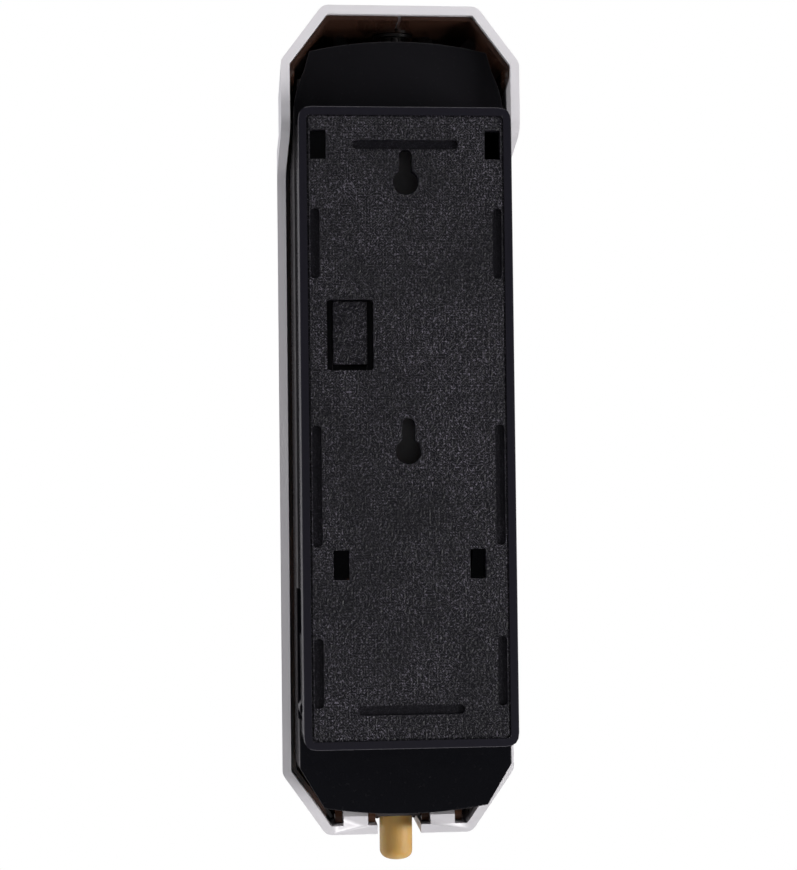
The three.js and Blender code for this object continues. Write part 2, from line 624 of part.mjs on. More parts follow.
// Cup that holds the ball, with a flange under the tank's neck and a barb that enters the tube.
function valveCage() {
  const plugRadius = NECK_BORE - GAP;
  const bore = 1.9;
  return turnedZ([
    [bore, CAGE_BOTTOM - 10], [TUBE_BORE - GAP, CAGE_BOTTOM - 9], [TUBE_BORE - GAP, CAGE_BOTTOM],
    [NECK_RADIUS, CAGE_BOTTOM], [NECK_RADIUS, CAGE_BOTTOM + 2], [plugRadius, CAGE_BOTTOM + 2],
    [plugRadius, CAGE_TOP], [CHAMBER_RADIUS, CAGE_TOP], [CHAMBER_RADIUS, BALL_REST - 1.6],
    [bore, BALL_REST - BALL_RADIUS - GAP], [bore, CAGE_BOTTOM - 10],
  ], 0, TUBE_DEPTH);
}

// Ring above the ball; the ball closes it when the tube is squeezed.
function valveSeat() {
  const top = TANK_BOTTOM + TANK_WALL;
  return turnedZ([
    [1.8, CAGE_TOP + GAP], [NECK_BORE - GAP, CAGE_TOP + GAP], [NECK_BORE - GAP, top],
    [3.4, top], [1.8, top - 1.2], [1.8, CAGE_TOP + GAP],
  ], 0, TUBE_DEPTH);
}

function outletGasket() {
  const z1 = NECK_END - GAP;
  return turnedZ([
    [NECK_BORE, z1 - 0.7], [NECK_RADIUS, z1 - 0.7], [NECK_RADIUS, z1], [NECK_BORE, z1], [NECK_BORE, z1 - 0.7],
  ], 0, TUBE_DEPTH);
}

function valveBall() {
  const geometry = new THREE.SphereGeometry(BALL_RADIUS, 16, 12);
  geometry.rotateX(Math.PI / 2);
  geometry.translate(0, -TUBE_DEPTH, BALL_REST);
  return toSolid(geometry);
}

const TUBE_TOP = CAGE_BOTTOM - GAP;

// Soft tube with a rounded, slit end that opens only under pressure.
function pumpTube() {
  const round = (radius, z, steps = 5) => Array.from({ length: steps + 1 }, (_, i) => {
    const turn = (Math.PI / 2) * (i / steps);
    return [radius * Math.sin(turn), z - radius * Math.cos(turn) * 0.72];
  });
  const outerEnd = TUBE_TIP + TUBE_RADIUS * 0.72;
  const innerEnd = outerEnd + 0.4;
  const body = turnedZ([
    ...round(TUBE_RADIUS, outerEnd), [TUBE_RADIUS, TUBE_TOP], [TUBE_BORE, TUBE_TOP],
    ...round(TUBE_BORE, innerEnd).reverse(),
  ], 0, TUBE_DEPTH);
  const slit = block(-2.6, 2.6, TUBE_DEPTH - 0.2, TUBE_DEPTH + 0.2, TUBE_TIP - 1, innerEnd);
  return cut(body, slit);
}

function tubeClamp() {
  const top = TUBE_TOP - 3;
  const [inner, outer] = [TUBE_RADIUS + GAP, TUBE_RADIUS + GAP + 1.3];
  const ring = turnedZ([[inner, top - 4], [outer, top - 4], [outer, top], [inner, top], [inner, top - 4]], 0, TUBE_DEPTH);
  const ear = block(outer - 1, outer + 3.5, TUBE_DEPTH - 1.2, TUBE_DEPTH + 1.2, top - 4, top);
  return join(ring, cut(ear, rodZ(inner + 0.4, 0, TUBE_DEPTH, top - 5, top + 1)));
}

// ---------------------------------------------------------------- pump bracket and nozzle

const ANVIL_FACE = TUBE_DEPTH - TUBE_RADIUS - GAP;
const ANVIL_PLATE = ANVIL_FACE - ANVIL_THICKNESS - GAP;

// Bridge that stands on the chassis and backs the tube where the button squeezes it.
function pumpBracket() {
  const base0 = BRACKET_BACK;
  const base1 = BRACKET_BACK + BRACKET_BASE;
  const [z0, z1] = [PUMP_CENTRE_Z - 8, PUMP_CENTRE_Z + 22];
  const snapTop = SNAP_SLOT.bottom + 7.5;
  const foot = join(
    block(-14, 14, base0, base1, z0, z1),
    block(-POCKET_HALF_WIDTH + SLIDE, POCKET_HALF_WIDTH - SLIDE, base0, base1, z0, snapTop + 3),
  );
  const middle = (SNAP_SLOT.back + SNAP_SLOT.front) / 2;
  const keeper = block(
    POCKET_HALF_WIDTH - 4, POCKET_HALF_WIDTH - SLIDE, base0, middle - 1 - GAP, SNAP_SLOT.bottom, snapTop,
  );
  const leg = block(8, 10.4, base0, ANVIL_PLATE, z0, z1);
  const brace = block(-10.4, 10.4, base0, ANVIL_PLATE, PUMP_CENTRE_Z - 1, PUMP_CENTRE_Z + 1);
  const table = block(-10.4, 10.4, ANVIL_PLATE - 2.2, ANVIL_PLATE, z0, z1);
  const holes = bothSides(rodY(PEG_RADIUS + GAP, PEG_X, base0 - 1, base1 + 2, PEG_Z, 16));
  return cut(join(foot, bothSides(keeper), bothSides(leg), brace, table), holes);
}

const anvilPad = () => block(-9, 9, ANVIL_PLATE + GAP, ANVIL_FACE, PUMP_CENTRE_Z - 7, PUMP_CENTRE_Z + 12);

const NOZZLE_HALF_WIDTH = EAR_STARTS[0] - GAP;
const NOZZLE_SCREWS = [[13.5, SIDE_WALL_FOOT + 1.5], [-13.5, SIDE_WALL_FOOT + 1.5]];
const NOZZLE_FOOT = 2.4;
const NOZZLE_FRONT = 60;

// Guide that holds the lower end of the tube over the slot in the cover's foot.
function nozzleBlock() {
  const half = NOZZLE_HALF_WIDTH;
  const foot0 = FLANGE_FRONT + GAP;
  const footZ = SIDE_WALL_FOOT + 1.5;
  const foot = block(-18, 18, foot0, foot0 + NOZZLE_FOOT, footZ - 4, footZ + 4);
  const arm = block(-half, half, foot0, TUBE_DEPTH, HINGE_Z + 13, footZ + 4);
  const guide = block(-half, half, HINGE_DEPTH + 0.8, NOZZLE_FRONT, HINGE_Z - 0.5, HINGE_Z + 13.5);
  const spoutHalf = TUBE_SLOT_HALF_WIDTH - SLIDE;
  const spout = block(-spoutHalf, spoutHalf, TUBE_DEPTH + 0.6, NOZZLE_FRONT - 1, HINGE_Z - 2.1, HINGE_Z);
  const bore = rodZ(TUBE_RADIUS + GAP, 0, TUBE_DEPTH, HINGE_Z - 5, footZ + 6, 28);
  const holes = screwHoles(NOZZLE_SCREWS, foot0 - 1, foot0 + NOZZLE_FOOT + 1);
  return cut(join(foot, arm, guide, spout), bore, ...holes);
}

// ---------------------------------------------------------------- lock

const STRIKER_SCREWS = [[5, COVER_TOP - 15.5], [-5, COVER_TOP - 15.5]];
const STRIKER_THICKNESS = 1.2;
const POST_DEPTH = LOCK_DEPTH - POST_DISTANCE;
const CAM_BOTTOM = CAM_TOP - CAM_THICKNESS;

// Bent plate on the chassis with a post that the lock's cam hooks behind.
function lockStriker() {
  const back = FLANGE_FRONT + GAP;
  const shelfTop = CAM_BOTTOM - 1.6;
  const shelf = shelfTop - 1.4;
  const base = block(-8.5, 8.5, back, back + STRIKER_THICKNESS, COVER_TOP - 19, shelfTop);
  const tray = block(-4, 4, back, POST_DEPTH + POST_RADIUS + 0.6, shelf, shelfTop);
  const post = rodZ(POST_RADIUS, 0, POST_DEPTH, shelf, CAM_TOP + 1, 16);
  const holes = screwHoles(STRIKER_SCREWS, back - 1, back + STRIKER_THICKNESS + 1);
  return cut(join(base, tray, post), ...holes);
}

const LOCK_HEAD_RADIUS = LOCK_RADIUS + 1.2;
const LOCK_LEDGE = COVER_TOP - 1.4;

function lockBarrel() {
  const stem = rodZ(LOCK_RADIUS, 0, LOCK_DEPTH, CAM_BOTTOM - 1, LOCK_LEDGE + 0.5);
  const head = rodZ(LOCK_HEAD_RADIUS, 0, LOCK_DEPTH, LOCK_LEDGE + GAP, COVER_TOP - 0.2, 28);
  const key = block(-2.6, 2.6, LOCK_DEPTH - 0.7, LOCK_DEPTH + 0.7, COVER_TOP - 3, COVER_TOP + 1);
  return cut(join(stem, head), key);
}

const ceiling = COVER_TOP - COVER_WALL - LINER_FIT - LINER_WALL;

function lockClip() {
  const [inner, outer] = [LOCK_RADIUS + GAP, LOCK_RADIUS + 2.2];
  const top = ceiling - SLIDE;
  return turnedZ([[inner, top - 0.8], [outer, top - 0.8], [outer, top], [inner, top], [inner, top - 0.8]], 0, LOCK_DEPTH);
}

// Cam with a curved finger; at rest the finger points along +X and a quarter turn brings it behind the post.
function lockCam() {
  const hub = LOCK_RADIUS + 1.3;
  const inner = POST_DISTANCE + POST_RADIUS + 0.5;
  const outer = inner + 2.2;
  const shape = new THREE.Shape();
  const reach = 0.45;
  const arm = 0.35;
  shape.absarc(0, -LOCK_DEPTH, outer, -reach - arm, reach, false);
  shape.absarc(0, -LOCK_DEPTH, inner, reach, -reach, true);
  shape.absarc(0, -LOCK_DEPTH, hub - 0.8, -reach, -reach - arm, true);
  shape.closePath();
  const upright = new THREE.ExtrudeGeometry(shape, { depth: CAM_THICKNESS, bevelEnabled: false, curveSegments: 8 });
  upright.translate(0, 0, CAM_BOTTOM);
  const disc = rodZ(hub, 0, LOCK_DEPTH, CAM_BOTTOM, CAM_TOP);
  return cut(join(toSolid(upright), disc), rodZ(LOCK_RADIUS + GAP, 0, LOCK_DEPTH, CAM_BOTTOM - 1, CAM_TOP + 1));
}

// ---------------------------------------------------------------- cover

// Everything nearer the wall than the cover's rim, which steps forward below the cap.
function rimCut(capDepth, lowerDepth, foot, round) {
  return prismX(outline([
    [-20, COVER_TOP + 30], [-20, COVER_BOTTOM - 30], [lowerDepth, COVER_BOTTOM - 30],
    [lowerDepth, foot - RIM_STEP, round], [capDepth, foot, round], [capDepth, COVER_TOP + 30],
  ]), -COVER_WIDTH, COVER_WIDTH, 8);
}

// Filled outer form of the cover, or a form nested inside it. The cap is a little narrower than
// the rest, and `capFill` gives back part of that so that the nested forms keep their room.
function coverBody(margin, capFill, front, roundDepth) {
  const edge = (inwards) => roundedEdge(front, inwards, roundDepth, EDGE_ROUND);
  const lowerTaper = margin + SIDE_TAPER;
  const lower = layered(COVER_OUTLINE, [[-14, margin], [LOWER_RIM, margin], ...edge(lowerTaper)]);
  const pinch = margin + CAP_PINCH - capFill;
  const cap = layered(COVER_OUTLINE, [[-14, margin], [CAP_RIM, margin], [LOWER_RIM, pinch], ...edge(lowerTaper)]);
  const slab = (z0, z1) => block(-COVER_WIDTH, COVER_WIDTH, -20, COVER_FRONT + 5, z0, z1);
  const [below, above] = [CAP_FOOT - 2, CAP_FOOT + 5];
  const blend = wasm.Manifold.hull([
    lower.intersect(slab(below - 0.1, below)), cap.intersect(slab(above, above + 0.1)),
  ]);
  return join(lower.intersect(slab(COVER_BOTTOM - 5, below)), cap.intersect(slab(above, COVER_TOP + 5)), blend);
}

const TUBE_SLOT_HALF_WIDTH = 6.8;
const TUBE_SLOT_FRONT = HINGE_DEPTH + 20.2;
const PANEL_SCREWS = [
  [14, WINDOW_TOP + 2.1], [-14, WINDOW_TOP + 2.1],
  [24, WINDOW_BOTTOM - 5.2], [-24, WINDOW_BOTTOM - 5.2],
];
const CARRIER_LEGS = [
  [25.6, PUMP_CENTRE_Z + 19], [-25.6, PUMP_CENTRE_Z + 19],
  [25.6, PUMP_CENTRE_Z - 19], [-25.6, PUMP_CENTRE_Z - 19],
];
const FRONT_WALL = 3;
const COVER_INSIDE = COVER_FRONT - FRONT_WALL;

function hingeLug() {
  const rise = HINGE_Z + 0.4;
  const bed = COVER_BOTTOM + COVER_WALL - 0.5;
  const heel = prismX(outline([
    [LOWER_RIM, bed], [HINGE_DEPTH + LUG_RADIUS, bed], [HINGE_DEPTH + LUG_RADIUS, HINGE_Z],
    [HINGE_DEPTH, HINGE_Z + LUG_RADIUS], [LOWER_RIM + 1.6, rise + 1.2], [LOWER_RIM, rise],
  ]), LUG_INNER, LUG_OUTER);
  return join(heel, rodX(LUG_RADIUS, LUG_INNER, LUG_OUTER, HINGE_DEPTH, HINGE_Z));
}

function coverFrame() {
  const outer = coverBody(0, 0, COVER_FRONT, 9);
  const inner = coverBody(COVER_WALL, CAP_THINNING, COVER_INSIDE, 7);
  const shell = cut(outer, inner, rimCut(CAP_RIM, LOWER_RIM, CAP_FOOT, 6));
  const lugs = bothSides(hingeLug());
  const pinBores = bothSides(rodX(HINGE_PIN_RADIUS + GAP, LUG_INNER - 1, LUG_OUTER + 1, HINGE_DEPTH, HINGE_Z, 16));
  const half = TUBE_SLOT_HALF_WIDTH;
  return cut(
    join(shell, lugs),
    pinBores,
    prism(outline(WINDOW_OUTLINE), COVER_INSIDE - 3, COVER_FRONT + 1),
    prism(outline(buttonBox(SLIDE, 6.5)), COVER_INSIDE - 3, COVER_FRONT + 1),
    block(-half, half, 0, TUBE_SLOT_FRONT, COVER_BOTTOM - 1, HINGE_Z),
    rodZ(LOCK_RADIUS + GAP, 0, LOCK_DEPTH, ceiling, COVER_TOP + 1),
    rodZ(LOCK_HEAD_RADIUS + GAP, 0, LOCK_DEPTH, LOCK_LEDGE, COVER_TOP + 1, 28),
    ...screwHoles(PANEL_SCREWS, COVER_INSIDE - 1, COVER_FRONT - 0.9),
    ...screwHoles(CARRIER_LEGS, COVER_INSIDE - 1, COVER_FRONT - 0.9),
  );
}

// Translucent inner shell: its hood lines the cap and its raised front fills the frame's window.
function coverPanel() {
  const skin = COVER_WALL + LINER_FIT;
  const back = COVER_INSIDE - GAP - 1.6;
  const outer = coverBody(skin, CAP_THINNING, COVER_INSIDE - GAP, 7);
  const inner = coverBody(skin + LINER_WALL, CAP_THINNING, back, 6);
  const rear = rimCut(CAP_RIM + 1.5, SIDE_WALL_FRONT + 1.5, HOOD_FOOT + RIM_STEP, 2);
  const lens = prism(outline(inset(WINDOW_OUTLINE, GAP)), back, COVER_FRONT + 0.5);
  const lensHollow = prism(outline(inset(WINDOW_OUTLINE, GAP + 1.8)), back - 2, COVER_FRONT - 1.3);
  const legs = 29;
  const buttonRoom = BUTTON_HEIGHT / 2 + 2.3;
  return cut(
    join(cut(outer, inner, rear), lens),
    lensHollow,
    prism(outline(box2d(-legs, legs, PUMP_CENTRE_Z - buttonRoom, PUMP_CENTRE_Z + buttonRoom, 3)), back - 3, COVER_FRONT),
    block(-22.6, 22.6, 0, HINGE_DEPTH + 6, COVER_BOTTOM, HINGE_Z + 4),
    block(-10, 10, 0, TUBE_SLOT_FRONT, COVER_BOTTOM, HINGE_Z + 1),
    rodZ(LOCK_RADIUS + SLIDE, 0, LOCK_DEPTH, ceiling - 2, COVER_TOP + 1),
    block(-0.5, 0.5, 0, LOCK_DEPTH - LOCK_RADIUS - 2.4, ceiling - 2, COVER_TOP),
    ...screwHoles(PANEL_SCREWS, back - 1, COVER_FRONT),
  );
}

// ---------------------------------------------------------------- button

const BUTTON_FRONT = COVER_FRONT + BUTTON_PROUD;
const BUTTON_INSIDE = BUTTON_FRONT - BUTTON_WALL;
const BAR_BACK = TUBE_DEPTH + TUBE_RADIUS + 0.8;

// Cap with a skirt that slides in the frame and a lip that stops it from coming out.
function pressButton() {
  const skirt = layered(buttonBox(0), [[COVER_INSIDE - 9, 0], ...roundedEdge(BUTTON_FRONT, 0, 2.2, 1.4)]);
  const behindLip = COVER_INSIDE - GAP - 1.6;
  const room = block(-30, 30, 0, behindLip, PUMP_CENTRE_Z - 40, PUMP_CENTRE_Z + 40);
  const lip = prism(outline(buttonBox(SLIDE + 1.2)), behindLip, COVER_INSIDE - GAP);
  const hollow = prism(outline(inset(buttonBox(0), BUTTON_WALL)), 0, BUTTON_INSIDE);
  const socket = block(-9.6, 9.6, BUTTON_INSIDE - 4, BUTTON_INSIDE + 0.5, PUMP_CENTRE_Z - 8.6, PUMP_CENTRE_Z + 8.6);
  const socketHollow = block(-8, 8, BUTTON_INSIDE - 5, BUTTON_INSIDE, PUMP_CENTRE_Z - 7, PUMP_CENTRE_Z + 7);
  const posts = bothSides(rodY(SPRING_RADIUS - SPRING_WIRE - 0.6, SPRING_X, BUTTON_INSIDE - 9, BUTTON_INSIDE + 0.5, PUMP_CENTRE_Z, 16));
  return join(cut(join(skirt, lip), room, hollow), cut(socket, socketHollow), posts);
}

// Bar that carries the push from the button to the tube; its nose is rounded so that it doesn't cut.
function squeezeBar() {
  const noseRound = 3;
  const profile = outline([
    [BAR_BACK, PUMP_CENTRE_Z - 5, noseRound], [BUTTON_INSIDE - 5, PUMP_CENTRE_Z - 6.6],
    [BUTTON_INSIDE - GAP, PUMP_CENTRE_Z - 6.6], [BUTTON_INSIDE - GAP, PUMP_CENTRE_Z + 6.6],
    [BUTTON_INSIDE - 5, PUMP_CENTRE_Z + 6.6], [BAR_BACK, PUMP_CENTRE_Z + 5, noseRound],
  ]);
  return prismX(profile, -7.6, 7.6);
}

// Plate behind the button, screwed to the frame, with a cup for each return spring.
function buttonCarrier() {
  const plate1 = CARRIER_BACK + CARRIER_PLATE;
  const plate = prism(outline(box2d(-28.2, 28.2, PUMP_CENTRE_Z - 21.6, PUMP_CENTRE_Z + 21.6, 3)), CARRIER_BACK, plate1);
  const legs = CARRIER_LEGS.map(([x, z]) => block(x - 2.3, x + 2.3, plate1 - 0.5, COVER_INSIDE - GAP, z - 2.3, z + 2.3));
  const cups = bothSides(rodY(CUP_RADIUS, SPRING_X, CUP_BACK, CARRIER_BACK + 0.5, PUMP_CENTRE_Z));
  const bores = bothSides(rodY(SPRING_RADIUS + SLIDE, SPRING_X, CUP_BACK + 1.2, plate1 + 1, PUMP_CENTRE_Z));
  const opening = block(-9.4, 9.4, 0, plate1 + 1, PUMP_CENTRE_Z - 30, PUMP_CENTRE_Z + 30);
  const [bridge0, bridge1] = [PUMP_CENTRE_Z + 12, PUMP_CENTRE_Z + 18];
  const bridge = cut(
    block(-12, 12, CARRIER_BACK, BAR_BACK + 2.4, bridge0, bridge1),
    block(-9.4, 9.4, 0, BAR_BACK, bridge0 - 1, bridge1 + 1),
  );
  const holes = screwHoles(CARRIER_LEGS, CARRIER_BACK - 1, COVER_INSIDE + 1);
  return join(cut(join(plate, cups, ...legs), bores, opening, ...holes), bridge);
}

// Compression spring on the button's post, seated in a cup of the carrier.
function returnSpring() {
  const start = CUP_BACK + 1.2 + GAP + SPRING_WIRE;
  const length = BUTTON_INSIDE - GAP - SPRING_WIRE - start;
  class Helix extends THREE.Curve {
    getPoint(t, target = new THREE.Vector3()) {
      const turn = 2 * Math.PI * SPRING_TURNS * t;
      const [across, up] = [Math.cos(turn), Math.sin(turn)].map((share) => share * SPRING_RADIUS);
      return target.set(SPRING_X + across, -start - length * t, PUMP_CENTRE_Z + up);
    }
  }
  const wire = new THREE.Shape();
  wire.absarc(0, 0, SPRING_WIRE, 0, 2 * Math.PI, false);
  const settings = { extrudePath: new Helix(), steps: SPRING_TURNS * 12, bevelEnabled: false, curveSegments: 3 };
  return toSolid(new THREE.ExtrudeGeometry(wire, settings));
}

// ---------------------------------------------------------------- assembly

const group = new THREE.Group();

function place(name, solid, material) {
  const mesh = new THREE.Mesh(toGeometry(solid), material);
  mesh.name = name;
  group.add(mesh);
}

function placePair(name, solid, material) {
  place(`${name}_left`, mirrorX(solid), material);
  place(`${name}_right`, solid, material);
}

place('wall_plate', wallPlate(), GRAINED_BLACK);
place('detent_tongue', detentTongue(), GRAINED_BLACK);

place('chassis', chassis(), GLOSS_BLACK);
placePair('side_snap', sideSnap(), GLOSS_BLACK);
placePair('hinge_pin', hingePin(), STEEL);
place('soap_tank', soapTank(), SMOKED_CLEAR);
place('tank_lid', tankLid(), SMOKED_CLEAR);
place('lid_gasket', lidGasket(), RUBBER);
place('valve_seat', valveSeat(), WHITE_ABS);
place('valve_cage', valveCage(), WHITE_ABS);
place('valve_ball', valveBall(), STEEL);
place('outlet_gasket', outletGasket(), RUBBER);
place('pump_tube', pumpTube(), LATEX);
place('tube_clamp', tubeClamp(), STEEL);
place('pump_bracket', pumpBracket(), GLOSS_BLACK);
place('anvil_pad', anvilPad(), RUBBER);
place('nozzle_block', nozzleBlock(), GRAINED_BLACK);
place('lock_striker', lockStriker(), ZINC);

const screwSets = [
  ['nozzle_screw', NOZZLE_SCREWS, FLANGE_FRONT + NOZZLE_FOOT + 2 * GAP, FLANGE_BACK + 0.8],
  ['striker_screw', STRIKER_SCREWS, FLANGE_FRONT + STRIKER_THICKNESS + 2 * GAP, FLANGE_BACK + 0.8],
  ['panel_screw', PANEL_SCREWS, COVER_INSIDE - 2 * GAP - 1.6, COVER_FRONT - 1.2],
  ['carrier_screw', CARRIER_LEGS, CARRIER_BACK - GAP, COVER_FRONT - 1.2],
];
screwSets.forEach(([name, places, headDepth, tipDepth]) => places.forEach(([x, z], i) => {
  place(`${name}_${i + 1}`, screwY(x, z, headDepth, tipDepth), STEEL);
}));

place('cover_frame', coverFrame(), WHITE_ABS);
place('cover_panel', coverPanel(), TEA_BROWN);
place('button_carrier', buttonCarrier(), GRAINED_BLACK);
place('press_button', pressButton(), WHITE_ABS);
place('squeeze_bar', squeezeBar(), GRAINED_BLACK);
placePair('return_spring', returnSpring(), STEEL);
place('lock_barrel', lockBarrel(), ZINC);
place('lock_clip', lockClip(), STEEL);
place('lock_cam', lockCam(), ZINC);

export default group;
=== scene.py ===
# %% [markdown]
# # A wall-hung soap dispenser, seen from behind
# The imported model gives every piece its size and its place. This lesson gives the pieces their
# looks: rounded mould edges, grained and polished plastics, tinted covers and a rubber tube.
# All lengths are in metres, +Z is up, the wall is the plane y = 0 and the front faces -Y.

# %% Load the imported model
import json
import math

import bmesh
import bpy
import numpy as np
from mathutils import Matrix, Vector


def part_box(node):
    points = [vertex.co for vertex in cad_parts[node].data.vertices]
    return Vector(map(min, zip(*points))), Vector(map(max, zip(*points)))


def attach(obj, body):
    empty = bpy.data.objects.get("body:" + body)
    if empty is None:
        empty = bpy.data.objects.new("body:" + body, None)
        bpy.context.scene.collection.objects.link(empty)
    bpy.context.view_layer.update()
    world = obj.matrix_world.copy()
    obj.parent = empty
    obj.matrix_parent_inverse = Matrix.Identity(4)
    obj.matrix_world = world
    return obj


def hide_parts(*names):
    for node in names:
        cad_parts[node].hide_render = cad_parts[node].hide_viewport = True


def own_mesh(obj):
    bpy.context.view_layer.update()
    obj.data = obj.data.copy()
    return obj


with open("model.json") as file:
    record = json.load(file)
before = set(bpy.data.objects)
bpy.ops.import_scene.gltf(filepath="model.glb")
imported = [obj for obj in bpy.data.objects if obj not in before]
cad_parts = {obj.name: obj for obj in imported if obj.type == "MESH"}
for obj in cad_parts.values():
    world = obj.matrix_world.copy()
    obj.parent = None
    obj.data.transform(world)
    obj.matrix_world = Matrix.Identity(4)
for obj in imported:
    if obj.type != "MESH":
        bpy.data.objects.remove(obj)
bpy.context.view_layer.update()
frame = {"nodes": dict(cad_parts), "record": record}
NODES = frame["nodes"]
RECORD = frame["record"]
MM = 0.001
BODY_OF = {
    node: body for body, nodes in RECORD["behaviour"]["bodies"].items() for node in nodes
}
SLOT_OF = {part["node"]: part["material_slot"] for part in RECORD["subparts"]}
print("pieces in the frame:", len(NODES))

# %% [markdown]
# ## Camera
# The dispenser is looked at from the wall's side, a little from its left, at arm's length. A
# long lens keeps the plate almost rectangular. The three turns are applied in the order in
# which a tripod head makes them: yaw about the vertical, then pitch, then a slight roll.

# %% Camera
CAMERA_PLACE = Vector((68.723, 636.874, -65.624)) * MM
CAMERA_YAW, CAMERA_PITCH, CAMERA_ROLL = (math.radians(a) for a in (5.888, 2.233, -0.654))
LENS_MM, SENSOR_MM = 89.72, 36.0


def camera_turn(yaw, pitch, roll):
    """Rotation whose -Z looks along -Y after the turns: right, up and backward as columns."""
    forward = Vector(
        (-math.sin(yaw) * math.cos(pitch), -math.cos(yaw) * math.cos(pitch), math.sin(pitch))
    )
    level = forward.cross(Vector((0, 0, 1))).normalized()
    upright = level.cross(forward)
    right = level * math.cos(roll) + upright * math.sin(roll)
    up = upright * math.cos(roll) - level * math.sin(roll)
    return Matrix((right, up, -forward)).transposed()


camera_data = bpy.data.cameras.new("camera")
camera_data.lens, camera_data.sensor_width = LENS_MM, SENSOR_MM
camera_data.clip_start, camera_data.clip_end = 0.05, 20
camera = bpy.data.objects.new("camera", camera_data)
camera.matrix_world = (
    Matrix.Translation(CAMERA_PLACE)
    @ camera_turn(CAMERA_YAW, CAMERA_PITCH, CAMERA_ROLL).to_4x4()
)
bpy.context.scene.collection.objects.link(camera)
bpy.context.scene.camera = camera
print("camera at", tuple(round(v, 3) for v in CAMERA_PLACE))

# %% [markdown]
# ## Light
# Black plastic shows its lights as reflections, so they are large, soft and few. The key stands
# on the viewer's right and low, and leaves the far rim of the cover in the unit's shade. A fill
# on the left and a light on the front side keep the other views readable. A dark screen stands
# behind the camera, so that flat polished faces stay black and only their rounded edges shine.

# %% Studio
STUDIO_WHITE = (1.0, 0.995, 0.99)


def soft_light(name, place, target, size, power):
    """Square area light at `place`, aimed at `target`."""
    data = bpy.data.lights.new(name, "AREA")
    data.shape, data.size, data.energy, data.color = "SQUARE", size, power, STUDIO_WHITE
    light = bpy.data.objects.new(name, data)
    away = Vector(place) - Vector(target)
    turned = away.to_track_quat("Z", "Y").to_matrix().to_4x4()
    light.matrix_world = Matrix.Translation(place) @ turned
    bpy.context.scene.collection.objects.link(light)
    return light


HEART = Vector((0, -0.03, -0.04))  # the middle of the dispenser, which every light faces
# name, place, target, width in metres, power in watts
soft_light("key_right", (-0.95, 0.5, -0.3), HEART, 0.45, 13)
soft_light("fill_left", (1.05, 0.4, 0.6), HEART, 0.4, 5.5)
soft_light("top", (0.05, 0.25, 1.1), HEART, 0.6, 6)
soft_light("edge_low", (0.6, 0.5, -0.85), HEART, 0.3, 1.2)
soft_light("front_high", (-0.7, -0.9, 0.6), HEART, 0.6, 6)
soft_light("front_low", (0.8, -0.7, -0.3), HEART, 0.5, 2)

scene = bpy.context.scene
scene.view_settings.view_transform = "Standard"
world = bpy.data.worlds.new("studio")
world.use_nodes = True
scene.world = world
sky = world.node_tree
backdrop = sky.nodes["Background"]
backdrop.inputs["Color"].default_value = (1, 1, 1, 1)
room = sky.nodes.new("ShaderNodeBackground")  # what the plastics mirror
room.inputs["Color"].default_value = (0.93, 0.95, 1, 1)
aim = sky.nodes.new("ShaderNodeTexCoord")
aim_axes = sky.nodes.new("ShaderNodeSeparateXYZ")
screen = sky.nodes.new("ShaderNodeMapRange")
screen.interpolation_type = "SMOOTHSTEP"
DARK_SCREEN = {"From Min": 0.35, "From Max": 0.85, "To Min": 0.42, "To Max": 0.1}
for socket, value in DARK_SCREEN.items():
    screen.inputs[socket].default_value = value
sky.links.new(aim.outputs["Generated"], aim_axes.inputs["Vector"])
sky.links.new(aim_axes.outputs["Y"], screen.inputs["Value"])
sky.links.new(screen.outputs["Result"], room.inputs["Strength"])
chooser = sky.nodes.new("ShaderNodeMixShader")
sight = sky.nodes.new("ShaderNodeLightPath")
sky.links.new(sight.outputs["Is Camera Ray"], chooser.inputs["Fac"])
sky.links.new(room.outputs["Background"], chooser.inputs[1])
sky.links.new(backdrop.outputs["Background"], chooser.inputs[2])
sky.links.new(chooser.outputs["Shader"], sky.nodes["World Output"].inputs["Surface"])

# %% [markdown]
# ## Floor
# A dispenser hangs on a wall, so nothing stands under it. A pale floor far below still gives the
# room its bounce light.

# %% Floor
FLOOR_Z = -1.0
FLOOR_RADIUS = 9.0
FADE_START, FADE_END = 1.1, 2.6


def grid_mesh(name, points):
    """Mesh through points [u, v, xyz]; v runs round and joins its last column to its first."""
    nu, nv = points.shape[:2]
    a, b = np.meshgrid(np.arange(nu - 1), np.arange(nv), indexing="ij")
    a2, b2 = a + 1, (b + 1) % nv
    quads = np.stack([a * nv + b, a2 * nv + b, a2 * nv + b2, a * nv + b2], -1).reshape(-1, 4)
    mesh = bpy.data.meshes.new(name)
    mesh.from_pydata(points.reshape(-1, 3), [], quads)
    mesh.update()
    return mesh


def floor_points(radius, rings=24, spokes=48):
    """Disc: the radius grows from almost nothing along u, the angle runs once round along v."""
    r = np.linspace(0.001, radius, rings)[:, None]
    turn = np.linspace(0, 2 * np.pi, spokes, endpoint=False)[None, :]
    x, y = r * np.cos(turn), r * np.sin(turn)
    return np.stack([x, y, np.full_like(x, FLOOR_Z)], -1)


